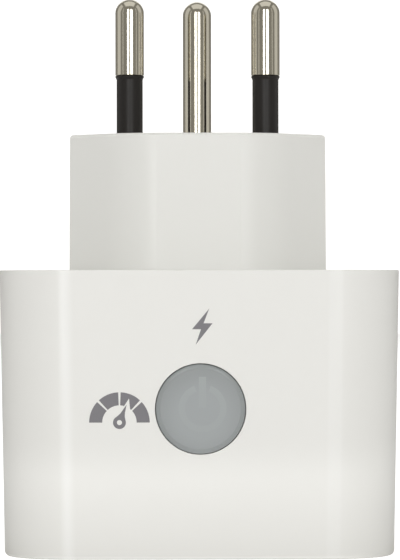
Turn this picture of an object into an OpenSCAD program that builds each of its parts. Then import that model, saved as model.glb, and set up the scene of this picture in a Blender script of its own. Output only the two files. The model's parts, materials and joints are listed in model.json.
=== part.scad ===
// Plug-in power meter: a switched mains adapter whose plug end carries three round pins
// and whose other end is a recessed three-hole socket, with one button on the front.
// Frame: Z runs from the socket face (0) to the pin tips, X runs along the line and
// neutral pins, and the front face with the button looks along -Y.

/* [Body] */
// Width of the body at its plug end
body_w = 54.4; // [54:0.2:58]
// Depth of the body at its plug end, front to back
body_d = 46; // [46:0.5:50]
// Height of the body from the socket face to the plug end
body_h = 38.8; // [38.8:0.2:40]
// Radius of the body's upright corners
corner_r = 9.8; // [9:0.2:11]
// Angle of the soft crease where a corner meets the front or the back
crease = 6; // [2:1:10]
// Draft of the body's sides
body_draft = 1; // [0.5:0.25:1.25]
// Wall of the shell and thickness of the cover plate
wall = 2; // [1.8:0.1:2.2]
// Radius of the edge round the socket face
foot_r = 0.7; // [0.4:0.1:1]

/* [Plug block] */
// Width of the plug block at its root
plug_w = 35.9; // [35.7:0.1:36]
// Depth of the plug block at its root
plug_d = 16.6; // [16.4:0.1:16.8]
// Height of the plug block
plug_h = 19; // [18:0.5:20]
// Width of the plug block's front flat
plug_flat = 11.6; // [11:0.2:12]
// Radius between the front flat and the slanted sides
plug_r = 12; // [11.6:0.1:12.2]
// Slant of the sides against the front
plug_slant = 43; // [42:0.5:44]
// Draft of the plug block's sides
plug_draft = 0.25; // [0.1:0.05:0.3]
// Wall of the plug block
plug_wall = 1.8; // [1.6:0.1:2]
// Thickness of the end wall that holds the pins
pin_wall = 2.5; // [2:0.1:3]
// Radius of the edge round the end wall
plug_edge_r = 0.5; // [0.3:0.1:0.6]

/* [Pins] */
// Radius of the metal pins
pin_r = 2; // [1.95:0.01:2]
// Length of the pins beyond the plug block
pin_l = 19; // [18:0.5:19]
// Distance between the line and neutral pins
pin_pitch = 19; // [18.9:0.1:19.1]
// Distance of the earth pin behind the line through the other two
earth_y = 5; // [4.9:0.1:5]
// Length of the insulating sleeves beyond the plug block
sleeve_l = 8.25; // [8:0.05:9]
// Radius of the insulating sleeves
sleeve_r = 1.83; // [1.8:0.01:1.85]

/* [Socket] */
// Depth of the socket recess
recess_h = 12; // [12:0.1:12.4]
// Gap between the recess wall and a plug
recess_gap = 0.6; // [0.4:0.1:0.7]
// Radius of the pin holes
entry_r = 2.4; // [2.3:0.05:2.5]
// Travel of the safety shutter
shutter_travel = 4.6; // [4.4:0.1:4.6]

/* [Button] */
// Radius of the button
button_r = 6; // [5:0.1:6.2]
// Height of the button's centre above the socket face
button_z = 20.2; // [20:0.1:21]
// Travel of the button
button_travel = 0.5; // [0.3:0.1:0.5]
// Gap around the button
button_gap = 0.1; // [0.08:0.01:0.15]

/* [Hidden] */

$fn = 48;
eps = 0.01;
tall = 100;
arc_steps = 12;

// Heights, from the socket face upwards.
floor_t = 2;
floor_z = recess_h;
chamber_z = floor_z + floor_t;
shutter_t = 4.6;
shutter_z = chamber_z + 0.12;
chamber_top = shutter_z + shutter_t + 0.3;
contact_z = chamber_z + 6;
contact_top = 30;
deck_top = 22;
carrier_top = 31;
board_z = 32;
board_t = 1.6;
board_top = board_z + board_t;
plug_z = body_h + plug_h;
cavity_top = plug_z - pin_wall;
tip_z = plug_z + pin_l;
tail_z = cavity_top - 6.3;
tab_z = tail_z + 1.2;

// Plastic fits and fasteners.
fit = 0.1;
post_r = 3;
screw_r = 1.45;
screw_hole_r = 1.6;
pilot_r = 1.5;
screw_head_r = 2.5;
counterbore_r = 2.8;
counterbore_h = 1.8;
ear_screw_r = 1.1;
ear_hole_r = 1.35;
ear_half = 2.6;
ear_t = 2.5;

// Positions seen from above.
pin_at = [[pin_pitch / 2, 0], [-pin_pitch / 2, 0], [0, earth_y]];
post_at = [for (x = [-19.5, 19.5], y = [-14.8, 14.8]) [x, y]];
ear_x = 21.5;
ear_at = [[-ear_x, 0], [ear_x, 0]];
tunnel_wall = 1.5;
carrier_w = 29;

// Depths behind the front face, along Y.
front_inside = -body_d / 2 + wall;
button_front = -22.9;
flange_front = -20.55;
flange_t = 0.8;
plunger_front = -19.6;
plunger_back = -17.2;
tact_front = -18.6;
control_front = -15.2;
control_t = 1.2;
control_back = control_front + control_t;
control_w = 27.8;
control_top = 31;

// Contacts and strips.
strip_t = 0.8;
core_r = 1.25;
groove_h = 0.6;
groove_r = 1.8;
collar_r = 2.6;
collar_t = 1.55;
tube_r = 2.9;
tube_t = 0.7;
carrier_hole_r = 2.7;
leg_x = 11.8;
leg_half = 1.9;
tail_x = 6.2;
tail_half = 1.4;
earth_leg_y = 1.25;

// Shutter spring, along Y behind the shutter's bar.
spring_r = 1.2;
spring_wire_r = 0.18;
spring_turns = 5;
spring_from = [0, -9.15, shutter_z + 2.9];
spring_l = 6.5;

// Relay case, below the board at the back.
relay_low = [-16, 10.7, 16.5];
relay_high = [4, 20.4, board_z - 0.1];
relay_wall = 0.6;
relay_base_t = 1.5;
relay_y = (relay_low[1] + relay_high[1]) / 2;
relay_base_z = relay_high[2] - relay_base_t;
hinge_x = -13.9;
hinge_z = 19.3;
pole_z = hinge_z + 0.6;
armature_swing = 4;
armature_t = 1.1;
coil_x = -8.6;
coil_z = [pole_z + 0.6, relay_base_z - 2];
contact_x = 0.2;
arm_z = hinge_z - armature_t - 0.32;
relay_pin_at = [[-14, 13], [-14, 18], [-3.5, 12.6], [2.2, relay_y]];

// Wire leads through the main board, and what stands on them.
lead_r = 0.35;
lead_end = 0.6;
header_x = [for (i = [0:3]) -11.4 + 2.54 * i];
header_y = -12.7;
header_z = 30;
low_capacitor_at = [19.4, -4.5];
high_capacitor_at = [0, -2.6];
choke_at = [19.6, 5.6];
film_at = [10.4, 14.4];
varistor_at = [-19.6, -5.5];
fuse_at = [-20, 6];
fuse_lead_at = fuse_at + [0, 2.9];
radio_low = [-0.8, -19.4, board_top + 0.02];

function lead_pair(at, pitch) = [at - [pitch / 2, 0], at + [pitch / 2, 0]];

low_capacitor_leads = lead_pair(low_capacitor_at, 3.5);
high_capacitor_leads = lead_pair(high_capacitor_at, 2.5);
choke_leads = lead_pair(choke_at, 3);
film_leads = lead_pair(film_at, 7.5);
varistor_leads = lead_pair(varistor_at, 5);

// ---- Outlines ---------------------------------------------------------------

function arc(centre, r, from, to) = [
    for (i = [0:arc_steps])
        let (a = from + (to - from) * i / arc_steps)
            centre + r * [cos(a), sin(a)]
];

function flip_x(points) = [for (i = [len(points) - 1:-1:0]) [-points[i][0], points[i][1]]];
function flip_y(points) = [for (i = [len(points) - 1:-1:0]) [points[i][0], -points[i][1]]];

// The body's outline at its plug end: flat front and back, round corners that meet
// the flats at a soft crease.
function body_outline(inset) =
    let (
        centre = [body_w / 2 - corner_r, corner_r * cos(crease) - body_d / 2],
        front_right = arc(centre, corner_r - inset, crease - 90, 0),
        right = concat(front_right, flip_y(front_right))
    )
        concat(right, flip_x(right));

// The plug block's outline: a flat front, a wide arc, a slanted side and a narrow end.
function plug_outline(inset) =
    let (
        centre = [plug_flat / 2 - plug_r * sin(crease), plug_r * cos(crease) - plug_d / 2],
        bend = arc(centre, plug_r - inset, crease - 90, plug_slant - 90),
        last = bend[arc_steps],
        end_x = min(plug_w / 2 - inset, last[0] - last[1] / tan(plug_slant)),
        end_y = last[1] + (end_x - last[0]) * tan(plug_slant),
        front_right = concat(bend, [[end_x, min(end_y, -eps)]]),
        right = concat(front_right, flip_y(front_right))
    )
        concat(right, flip_x(right));

// Size of the body's section at height z against the one at its plug end.
function taper(z) = 1 - (body_h - z) * tan(body_draft) / (body_w / 2);

module body_prism(inset, z0, z1) {
    translate([0, 0, z0])
        linear_extrude(z1 - z0, scale = taper(z1) / taper(z0))
            scale(taper(z0))
                polygon(body_outline(inset));
}

module plug_prism(inset, z0, z1) {
    translate([0, 0, z0])
        linear_extrude(z1 - z0)
            polygon(plug_outline(inset));
}

// ---- Building blocks --------------------------------------------------------

module at_all(places) {
    for (p = places)
        translate([p[0], p[1], 0])
            children();
}

module both_sides() {
    for (side = [0, 1])
        mirror([side, 0, 0])
            children();
}

// A box given by its low and high corners.
module block(low, high) {
    translate(low)
        cube(high - low);
}

// An upright cylinder between two heights.
module rod(r, z0, z1) {
    translate([0, 0, z0])
        cylinder(h = z1 - z0, r = r);
}

module tube(r, bore, z0, z1) {
    difference() {
        rod(r, z0, z1);
        rod(bore, z0 - 1, z1 + 1);
    }
}

// A cylinder along Y, centred on x and z.
module rod_y(r, y0, y1, x = 0, z = button_z) {
    translate([x, y0, z])
        rotate([-90, 0, 0])
            cylinder(h = y1 - y0, r = r);
}

module leads(places, z0, z1) {
    at_all(places)
        rod(lead_r, z0, z1);
}

// A pan-head screw whose head sits on height z.
module screw(z, head_r, head_h, r, l) {
    recess_half = head_r * 0.55;
    difference() {
        union() {
            translate([0, 0, z])
                cylinder(h = head_h, r1 = head_r, r2 = head_r * 0.82);
            rod(r, z - l, z + eps);
            translate([0, 0, z - l - r])
                cylinder(h = r + eps, r1 = 0.3, r2 = r);
        }
        for (a = [0, 90])
            rotate([0, 0, a])
                block([-recess_half, -0.3, z + head_h * 0.4], [recess_half, 0.3, z + head_h + 1]);
    }
}

// ---- Housing ----------------------------------------------------------------

module body_outside() {
    hull() {
        body_prism(foot_r, 0, eps);
        body_prism(foot_r * 0.3, foot_r * 0.3, foot_r * 0.3 + eps);
        body_prism(0, foot_r, body_h);
    }
}

// Two rails behind the front wall that hold the control board by its edges.
module board_rails() {
    edge = control_w / 2;
    both_sides()
        difference() {
            block([edge - 0.8, front_inside - 0.2, wall - eps], [edge + 1.2, control_back + 1, 29]);
            block([0, control_front - 0.05, wall + 1], [edge + fit, control_back + 0.05, tall]);
        }
}

// Screw posts for the cover, each with a rib to its corner.
module cover_posts() {
    top = board_z - 0.05;
    at_all(post_at)
        rod(post_r, wall - eps, top);
    for (p = post_at)
        translate([p[0], p[1], 0])
            rotate([0, 0, atan2(p[1] * body_w, p[0] * body_d)])
                block([0, -0.6, wall - eps], [5.6, 0.6, top - 3]);
}

module housing_shell() {
    color("whitesmoke")
        difference() {
            union() {
                difference() {
                    body_outside();
                    body_prism(wall, wall, body_h + 1);
                }
                plug_prism(-recess_gap - tunnel_wall, eps, recess_h);
                board_rails();
                cover_posts();
                at_all(ear_at)
                    rod(2.4, wall - eps, recess_h);
            }
            plug_prism(-recess_gap, -1, recess_h + 1);
            rod_y(button_r + button_gap, -body_d, -15);
            at_all(post_at)
                rod(pilot_r, 17, tall);
            at_all(ear_at)
                rod(ear_screw_r + 0.05, 4, tall);
        }
}

// The plug block's outside: slight draft and a rounded edge at the pins' end.
module plug_outside() {
    lean = plug_h * tan(plug_draft);
    edge_z = plug_z - plug_edge_r;
    hull() {
        plug_prism(0, body_h - eps, body_h);
        plug_prism(lean, edge_z - eps, edge_z);
        plug_prism(lean + plug_edge_r * 0.3, edge_z, plug_z - plug_edge_r * 0.3);
        plug_prism(lean + plug_edge_r, edge_z, plug_z);
    }
}

module plug_cover() {
    color("white")
        difference() {
            union() {
                plug_outside();
                translate([0, 0, body_h - wall])
                    linear_extrude(wall)
                        polygon(body_outline(wall + 2 * fit));
                at_all(post_at)
                    rod(post_r, board_top + 0.05, body_h - wall + eps);
            }
            plug_prism(plug_wall, body_h - wall - 1, cavity_top);
            at_all(post_at) {
                rod(screw_hole_r, board_top - 1, tall);
                rod(counterbore_r, body_h - counterbore_h, tall);
            }
            for (i = [0, 1])
                at_all([pin_at[i]])
                    rod(sleeve_r + 0.02, cavity_top - 1, tall);
            at_all([pin_at[2]])
                rod(pin_r + 0.02, cavity_top - 1, tall);
        }
}

module cover_screws() {
    color("silver")
        at_all(post_at)
            screw(body_h - counterbore_h, screw_head_r, 1.4, screw_r, 15);
}

// ---- Button -----------------------------------------------------------------

// The button slides along +Y. Its cap is a cup with a flange behind the wall and a
// stem that reaches the switch.
module power_button() {
    floor_back = button_front + 1.2;
    color("darkgray") {
        difference() {
            union() {
                rod_y(button_r - 0.15, button_front, button_front + 0.16);
                rod_y(button_r, button_front + 0.15, flange_front + eps);
                rod_y(button_r + 1, flange_front, flange_front + flange_t);
            }
            rod_y(button_r - 1, floor_back, 0);
        }
        rod_y(1.6, floor_back - eps, plunger_front - 0.05);
    }
}

// Ring between the front wall and the control board that keeps the button square.
module button_guide() {
    color("dimgray")
        difference() {
            rod_y(button_r + 2.6, front_inside + 0.5, control_front - 0.05);
            rod_y(button_r + 1.3, -body_d, 0);
        }
}

// ---- Plug pins --------------------------------------------------------------

// The free end of a pin, from height z up to its round tip.
module pin_end(z) {
    rod(pin_r, z, tip_z - pin_r);
    translate([0, 0, tip_z - pin_r])
        intersection() {
            sphere(r = pin_r);
            rod(2 * pin_r, 0, 2 * pin_r);
        }
}

// The pin inside the plug block: the tail that the strip is riveted to, a collar
// against the end wall, and the root in it.
module pin_root(root_r) {
    rod(core_r, tail_z, cavity_top);
    rod(collar_r, cavity_top - collar_t - 0.05, cavity_top - 0.05);
    rod(root_r, cavity_top - 0.1, plug_z + eps);
}

module live_pin(at) {
    color("silver")
        at_all([at]) {
            pin_root(core_r);
            rod(core_r, plug_z, plug_z + sleeve_l + eps);
            pin_end(plug_z + sleeve_l);
        }
}

module line_pin() {
    live_pin(pin_at[0]);
}

module neutral_pin() {
    live_pin(pin_at[1]);
}

// The earth pin fills its hole, with a grip groove just below the block's end. A flat on
// its collar clears the wall and keeps it from turning.
module earth_pin() {
    inside = plug_d / 2 - plug_wall - 0.05;
    color("silver")
        difference() {
            at_all([pin_at[2]]) {
                pin_root(pin_r);
                pin_end(plug_z);
            }
            block([-10, inside, 0], [10, inside + 10, cavity_top - 0.05]);
            at_all([pin_at[2]])
                tube(pin_r + 1, groove_r, plug_z - groove_h, plug_z);
        }
}

module pin_sleeve(at) {
    top = plug_z + sleeve_l;
    bead_h = 0.25;
    color("black")
        at_all([at])
            difference() {
                union() {
                    rod(sleeve_r, cavity_top, top);
                    translate([0, 0, top - 2 * bead_h])
                        cylinder(h = bead_h, r1 = sleeve_r, r2 = pin_r);
                    rod(pin_r, top - bead_h, top);
                }
                rod(core_r + 0.02, 0, tall);
            }
}

module line_pin_sleeve() {
    pin_sleeve(pin_at[0]);
}

module neutral_pin_sleeve() {
    pin_sleeve(pin_at[1]);
}

// A strip from a pin's tail to the main board.
module live_busbar() {
    color("goldenrod")
        difference() {
            union() {
                block([7.4, -leg_half, tab_z], [leg_x + strip_t, leg_half, tab_z + strip_t]);
                block([leg_x, -leg_half, board_z - 1], [leg_x + strip_t, leg_half, tab_z + eps]);
            }
            translate([pin_at[0][0], 0, 0])
                rod(core_r + 0.03, 0, tall);
        }
}

module line_busbar() {
    live_busbar();
}

module neutral_busbar() {
    mirror([1, 0, 0])
        live_busbar();
}

// The earth strip runs through the board, straight on to the socket's earth contact.
module earth_busbar() {
    color("goldenrod")
        difference() {
            union() {
                block([-2, earth_leg_y, tab_z], [2, earth_y + 1.3, tab_z + strip_t]);
                block([-2, earth_leg_y, contact_z + 4], [2, earth_leg_y + strip_t, tab_z + eps]);
            }
            at_all([pin_at[2]])
                rod(core_r + 0.03, 0, tall);
        }
}

// ---- Socket -----------------------------------------------------------------

// Ears that take the screws through the socket's stack into the shell.
module ears(z0, z1) {
    both_sides()
        block([carrier_w / 2 - 1, -ear_half, z0], [ear_x + 2.2, ear_half, z1]);
}

// The recess floor with the three pin holes, which lies on the end of the tunnel.
module socket_floor() {
    color("whitesmoke")
        difference() {
            union() {
                plug_prism(-recess_gap - tunnel_wall, floor_z + 0.02, chamber_z);
                ears(floor_z + 0.02, chamber_z);
            }
            at_all(pin_at)
                rod(entry_r, 0, tall);
            at_all(ear_at)
                rod(ear_hole_r, 0, tall);
        }
}

// Two wedges on one bar: pins that come in together push the wedges aside towards -Y.
module safety_shutter() {
    half = shutter_travel / 2 + 0.1;
    wedge = [[-half, 0], [half, shutter_t - 0.8], [half, shutter_t], [-half, shutter_t]];
    color("tomato")
        translate([0, 0, shutter_z]) {
            both_sides()
                translate([pin_pitch / 2 - 3, 0, 0])
                    rotate([90, 0, 90])
                        linear_extrude(6)
                            polygon(wedge);
            block([-pin_pitch / 2 + 2.99, -half, 3], [pin_pitch / 2 - 2.99, half, shutter_t]);
            block([-1.6, -half, 1.2], [1.6, 0, 3 + eps]);
        }
}

// A coil swept round Y: rings of points along the coil, joined by triangles.
module shutter_spring() {
    sides = 7;
    per_turn = 14;
    count = per_turn * spring_turns;
    path = [
        for (i = [0:count])
            let (a = 360 * i / per_turn)
                spring_from + [spring_r * cos(a), spring_l * i / count, spring_r * sin(a)]
    ];
    points = [
        for (i = [0:count], k = [0:sides - 1])
            let (
                a = 360 * i / per_turn,
                b = 360 * k / sides,
                out = [cos(a), 0, sin(a)]
            )
                path[i] + spring_wire_r * (cos(b) * out + sin(b) * [0, 1, 0])
    ];
    skin = [
        for (i = [0:count - 1], k = [0:sides - 1], half = [0, 1])
            let (
                j = (k + 1) % sides,
                a = i * sides,
                b = a + sides
            )
                half == 0 ? [a + k, b + j, a + j] : [a + k, b + k, b + j]
    ];
    ends = [
        for (k = [1:sides - 2], half = [0, 1])
            let (b = count * sides)
                half == 0 ? [0, k, k + 1] : [b, b + k + 1, b + k]
    ];
    color("silver")
        polyhedron(points, concat(skin, ends));
}

// Block that holds the three contacts above the shutter's chamber.
module contact_carrier() {
    color("dimgray")
        difference() {
            union() {
                intersection() {
                    plug_prism(-recess_gap - tunnel_wall, chamber_z, deck_top);
                    block([-carrier_w / 2, -20, 0], [carrier_w / 2, 20, tall]);
                }
                ears(chamber_z, chamber_z + ear_t);
                at_all(pin_at)
                    rod(tube_r + 1.3, deck_top - eps, carrier_top);
                block([-6, -2, deck_top - eps], [6, -0.6, 28]);
            }
            block([-12.8, -7.3, 0], [12.8, 2.7, chamber_top]);
            block([-1.7, -9.4, 0], [1.7, -7, chamber_top]);
            at_all(pin_at) {
                rod(carrier_hole_r, 0, tall);
                rod(tube_r + 0.2, contact_z - fit, tall);
            }
            both_sides()
                block([tail_x - 0.3, -tail_half - 0.3, contact_z - fit], [7.6, tail_half + 0.3, tall]);
            block([-2.2, earth_leg_y - 0.15, contact_z - fit], [2.2, earth_y, tall]);
            at_all(ear_at)
                rod(ear_hole_r, 0, tall);
        }
}

module carrier_screws() {
    color("silver")
        at_all(ear_at)
            screw(chamber_z + ear_t + 0.02, 2, 1.2, ear_screw_r, 10);
}

// A sprung contact tube with four slots at its mouth.
module contact_tube(at) {
    at_all([at])
        difference() {
            tube(tube_r, tube_r - tube_t, contact_z, contact_top);
            for (a = [45, 135])
                rotate([0, 0, a])
                    block([-5, -0.3, 0], [5, 0.3, contact_z + 6]);
        }
}

module line_contact() {
    color("goldenrod") {
        contact_tube(pin_at[0]);
        block([tail_x, -tail_half, contact_top - 3], [tail_x + strip_t, tail_half, board_top + lead_end]);
    }
}

module neutral_contact() {
    mirror([1, 0, 0])
        line_contact();
}

module earth_contact() {
    color("goldenrod")
        contact_tube(pin_at[2]);
}

// ---- Boards -----------------------------------------------------------------

module main_board() {
    lead_at = concat(
        low_capacitor_leads, high_capacitor_leads, choke_leads, film_leads,
        varistor_leads, [fuse_at, fuse_lead_at]
    );
    color("seagreen")
        difference() {
            translate([0, 0, board_z])
                linear_extrude(board_t)
                    polygon(body_outline(wall + 0.9));
            at_all(post_at)
                rod(screw_hole_r, 0, tall);
            at_all(lead_at)
                cylinder(h = tall, r = lead_r + 0.2, $fn = 8);
            at_all([for (x = header_x) [x, header_y]])
                block([-0.4, -0.4, 0], [0.4, 0.4, tall]);
            at_all(relay_pin_at)
                block([-0.6, -0.6, 0], [0.6, 0.6, tall]);
            both_sides() {
                block([leg_x - fit, -leg_half - fit, 0], [leg_x + strip_t + fit, leg_half + fit, tall]);
                block([tail_x - fit, -tail_half - fit, 0], [tail_x + strip_t + fit, tail_half + fit, tall]);
            }
            block([-2.1, earth_leg_y - fit, 0], [2.1, earth_leg_y + strip_t + fit, tall]);
        }
}

module control_board() {
    color("seagreen")
        difference() {
            block([-control_w / 2, control_front, wall + 1.05], [control_w / 2, control_back, control_top]);
            for (x = header_x)
                block([x - 0.4, -tall, header_z - 0.4], [x + 0.4, 0, header_z + 0.4]);
        }
}

// A right-angle header that joins the two boards.
module board_header() {
    pin = 0.3;
    front = control_front - lead_end;
    color("dimgray")
        block(
            [header_x[0] - 1.3, control_back + 0.02, header_z - 1.25],
            [header_x[3] + 1.3, header_y + 0.5, header_z + 1.25]
        );
    color("gold")
        for (x = header_x) {
            block([x - pin, front, header_z - pin], [x + pin, control_back + 0.1, header_z + pin]);
            block([x - pin, header_y - pin, header_z + 1.2], [x + pin, header_y + pin, board_top + lead_end]);
        }
}

module tact_switch() {
    half = 3;
    back = control_front - 0.02;
    color("dimgray")
        difference() {
            union() {
                block([-half, tact_front, button_z - half], [half, back, button_z + half]);
                rod_y(2.2, tact_front - 0.3, tact_front + eps);
            }
            rod_y(1.7, -body_d, plunger_back + button_travel + fit);
        }
    color("silver")
        for (x = [-3.5, 3.5], z = [-2.25, 2.25])
            block([x - 0.6, back - 0.3, button_z + z - 0.35], [x + 0.6, back, button_z + z + 0.35]);
}

module tact_plunger() {
    color("black")
        rod_y(1.6, plunger_front, plunger_back);
}

module status_leds() {
    back = control_front - 0.02;
    color("lightyellow")
        for (x = [-5.3, 5.3]) {
            block([x - 0.8, back - 0.4, button_z - 1.4], [x + 0.8, back, button_z + 1.4]);
            block([x - 0.6, back - 0.9, button_z - 1], [x + 0.6, back - 0.39, button_z + 1]);
        }
}

// ---- Relay ------------------------------------------------------------------

module relay_cover() {
    rim = relay_base_z - 0.02;
    skin = relay_wall * [1, 1, 0];
    color("steelblue")
        difference() {
            block(relay_low, [relay_high[0], relay_high[1], rim]);
            block(relay_low + skin + [0, 0, relay_wall], [relay_high[0], relay_high[1], tall] - skin);
        }
}

module relay_base() {
    color("dimgray")
        difference() {
            block([relay_low[0], relay_low[1], relay_base_z], relay_high);
            at_all(relay_pin_at)
                block([-0.6, -0.6, 0], [0.6, 0.6, tall]);
        }
}

// Two coil pins and the pin of the yoke, which carries the moving contact's current.
module relay_terminals() {
    color("silver")
        for (i = [0:2])
            at_all([relay_pin_at[i]])
                block([-0.4, -0.4, relay_base_z - 0.5], [0.4, 0.4, board_top + lead_end]);
}

// Square flanges at both ends of a round former.
module relay_bobbin() {
    half = 4;
    flange = 0.7;
    color("ivory")
        translate([coil_x, relay_y, 0])
            difference() {
                union() {
                    block([-half, -half, coil_z[0]], [half, half, coil_z[0] + flange]);
                    block([-half, -half, coil_z[1] - flange], [half, half, coil_z[1]]);
                    rod(2.2, coil_z[0], coil_z[1]);
                }
                rod(1.6, 0, tall);
            }
}

module relay_winding() {
    color("chocolate")
        translate([coil_x, relay_y, 0])
            tube(3.8, 2.22, coil_z[0] + 0.72, coil_z[1] - 0.72);
}

// Core and L-shaped frame in one piece. The armature closes the gap below the pole.
module relay_yoke() {
    plate_z = coil_z[1] + 0.02;
    side_x = hinge_x - 0.6;
    color("lightslategray") {
        translate([coil_x, relay_y, 0]) {
            rod(1.5, pole_z, plate_z + eps);
            rod(2.8, pole_z, pole_z + 0.55);
        }
        block([side_x, relay_y - 3.2, plate_z], [coil_x + 3, relay_y + 3.2, plate_z + 1]);
        block([side_x, relay_y - 3.2, hinge_z + 0.15], [side_x + 1.1, relay_y + 3.2, plate_z + eps]);
    }
}

module relay_armature() {
    color("lightslategray")
        block([hinge_x - 0.6, relay_y - 3, hinge_z - armature_t], [coil_x + 3.2, relay_y + 3, hinge_z]);
}

// The sprung arm under the armature, with the moving contact at its end.
module relay_contact_arm() {
    color("goldenrod") {
        block([hinge_x + 1, relay_y - 1.5, arm_z], [contact_x + 1.4, relay_y + 1.5, arm_z + 0.3]);
        translate([contact_x, relay_y, 0])
            rod(1.1, arm_z + 0.29, arm_z + 1.1);
    }
}

module relay_fixed_contact() {
    face_z = arm_z + 1.1 + (contact_x - hinge_x) * tan(armature_swing) + 0.12;
    plate_z = face_z + 0.7;
    pin = relay_pin_at[3];
    color("goldenrod") {
        translate([contact_x, relay_y, 0])
            rod(1.2, face_z, plate_z + eps);
        block([contact_x - 1.3, relay_y - 1.5, plate_z], [pin[0] + 0.4, relay_y + 1.5, plate_z + 0.5]);
        block([pin[0] - 0.4, pin[1] - 0.4, plate_z], [pin[0] + 0.4, pin[1] + 0.4, board_top + lead_end]);
    }
}

// ---- Board components -------------------------------------------------------

// A chip with gull-wing leads along its long sides, standing on the board at a place.
module chip(at, l, w, h, count, pitch) {
    shoulder = w / 2 + 0.4;
    at_all([at])
        translate([0, 0, board_top + 0.02]) {
            block([-w / 2, -l / 2, 0.1], [w / 2, l / 2, h]);
            for (i = [0:count - 1])
                translate([0, (i - (count - 1) / 2) * pitch, 0])
                    both_sides() {
                        block([w / 2 - eps, -0.2, h / 2], [shoulder, 0.2, h / 2 + 0.2]);
                        block([shoulder - 0.2, -0.2, 0], [shoulder, 0.2, h / 2 + 0.1]);
                        block([shoulder - 0.2, -0.2, 0], [shoulder + 0.5, 0.2, 0.2]);
                    }
        }
}

module metering_chip() {
    color("black")
        chip([12, -6], 4.9, 3.9, 1.5, 4, 1.27);
}

module converter_chip() {
    color("black")
        chip([-16.4, -8.4], 4.9, 3.9, 1.5, 4, 1.27);
}

module bridge_rectifier() {
    color("black")
        chip([-16.2, 4], 4.7, 4, 2.4, 2, 2.54);
}

// A resistance strip with two feet, in the line conductor's path.
module current_shunt() {
    color("darkgoldenrod")
        translate([18.6, 6, board_top + 0.02])
            difference() {
                block([-1.6, -5, 0], [1.6, 5, 1.4]);
                block([-3, -3.2, -1], [3, 3.2, 0.7]);
            }
}

module radio_board() {
    color("darkslateblue")
        block(radio_low, radio_low + [16, 10, 0.8]);
}

// An open can over the radio's chips, clear of the antenna at the board's far end.
module radio_shield() {
    size = [10.5, 8.8, 2];
    low = radio_low + [0.6, 0.6, 0.82];
    skin = 0.25;
    color("silver")
        difference() {
            block(low, low + size);
            block(low + [skin, skin, -1], low + size - skin * [1, 1, 1]);
        }
}

// An electrolytic can with the rolled groove near its mouth, standing on z = 0.
module can_capacitor(r, h) {
    rotate_extrude()
        polygon([
            [0, 0], [r - 0.4, 0], [r, 0.4], [r, 1.6], [r - 0.35, 1.95],
            [r, 2.3], [r, h - 0.4], [r - 0.4, h], [0, h]
        ]);
}

module bulk_capacitors() {
    color("midnightblue") {
        translate([high_capacitor_at[0], high_capacitor_at[1], board_top + 0.02])
            can_capacitor(3.15, 12);
        leads(high_capacitor_leads, board_z - lead_end, board_top + 0.1);
        translate([low_capacitor_at[0], low_capacitor_at[1], board_z - 0.02])
            mirror([0, 0, 1])
                can_capacitor(4, 12.5);
        leads(low_capacitor_leads, board_z - 0.1, board_top + lead_end);
    }
}

module suppression_capacitor() {
    color("gold") {
        block([film_at[0] - 5.2, film_at[1] - 3, 21], [film_at[0] + 5.2, film_at[1] + 3, board_z - 0.02]);
        leads(film_leads, board_z - 0.1, board_top + lead_end);
    }
}

module filter_choke() {
    color("darkslategray") {
        at_all([choke_at]) {
            rod(4, 22, 23.2);
            rod(3.2, 23, 31);
            rod(4, 30.8, board_z - 0.02);
        }
        leads(choke_leads, board_z - 0.1, board_top + lead_end);
    }
}

module surge_varistor() {
    color("royalblue") {
        rod_y(4.4, varistor_at[1] - 1.9, varistor_at[1] + 1.9, varistor_at[0], 26.4);
        leads(varistor_leads, 27, board_top + lead_end);
    }
}

// An upright resistor whose lower lead bends back up to the board.
module fuse_resistor() {
    base = 22;
    color("lightblue") {
        at_all([fuse_at]) {
            rod(2, base, base + 8.1);
            rod(2.2, base + 0.4, base + 2);
            rod(2.2, base + 6.1, base + 7.7);
        }
        leads([fuse_at], base - 0.8, board_top + lead_end);
        leads([fuse_lead_at], base - 0.8, board_top + lead_end);
        rod_y(lead_r, fuse_at[1], fuse_lead_at[1], fuse_at[0], base - 0.8);
    }
}

// ---- Assembly ---------------------------------------------------------------

housing_shell();
plug_cover();
cover_screws();
power_button();
button_guide();
line_pin();
neutral_pin();
earth_pin();
line_pin_sleeve();
neutral_pin_sleeve();
line_busbar();
neutral_busbar();
earth_busbar();
socket_floor();
safety_shutter();
shutter_spring();
contact_carrier();
carrier_screws();
line_contact();
neutral_contact();
earth_contact();
main_board();
control_board();
board_header();
tact_switch();
tact_plunger();
status_leds();
relay_base();
relay_cover();
relay_bobbin();
relay_winding();
relay_yoke();
relay_armature();
relay_contact_arm();
relay_fixed_contact();
relay_terminals();
current_shunt();
metering_chip();
converter_chip();
bridge_rectifier();
radio_board();
radio_shield();
bulk_capacitors();
suppression_capacitor();
filter_choke();
surge_varistor();
fuse_resistor();
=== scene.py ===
"""A plug-in power meter: white moulded body with a round button, a plug block with three
pins, and a recessed socket on the underside. Lengths are in metres."""

import json
import math

import bmesh
import bpy
from mathutils import Matrix, Vector


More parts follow.
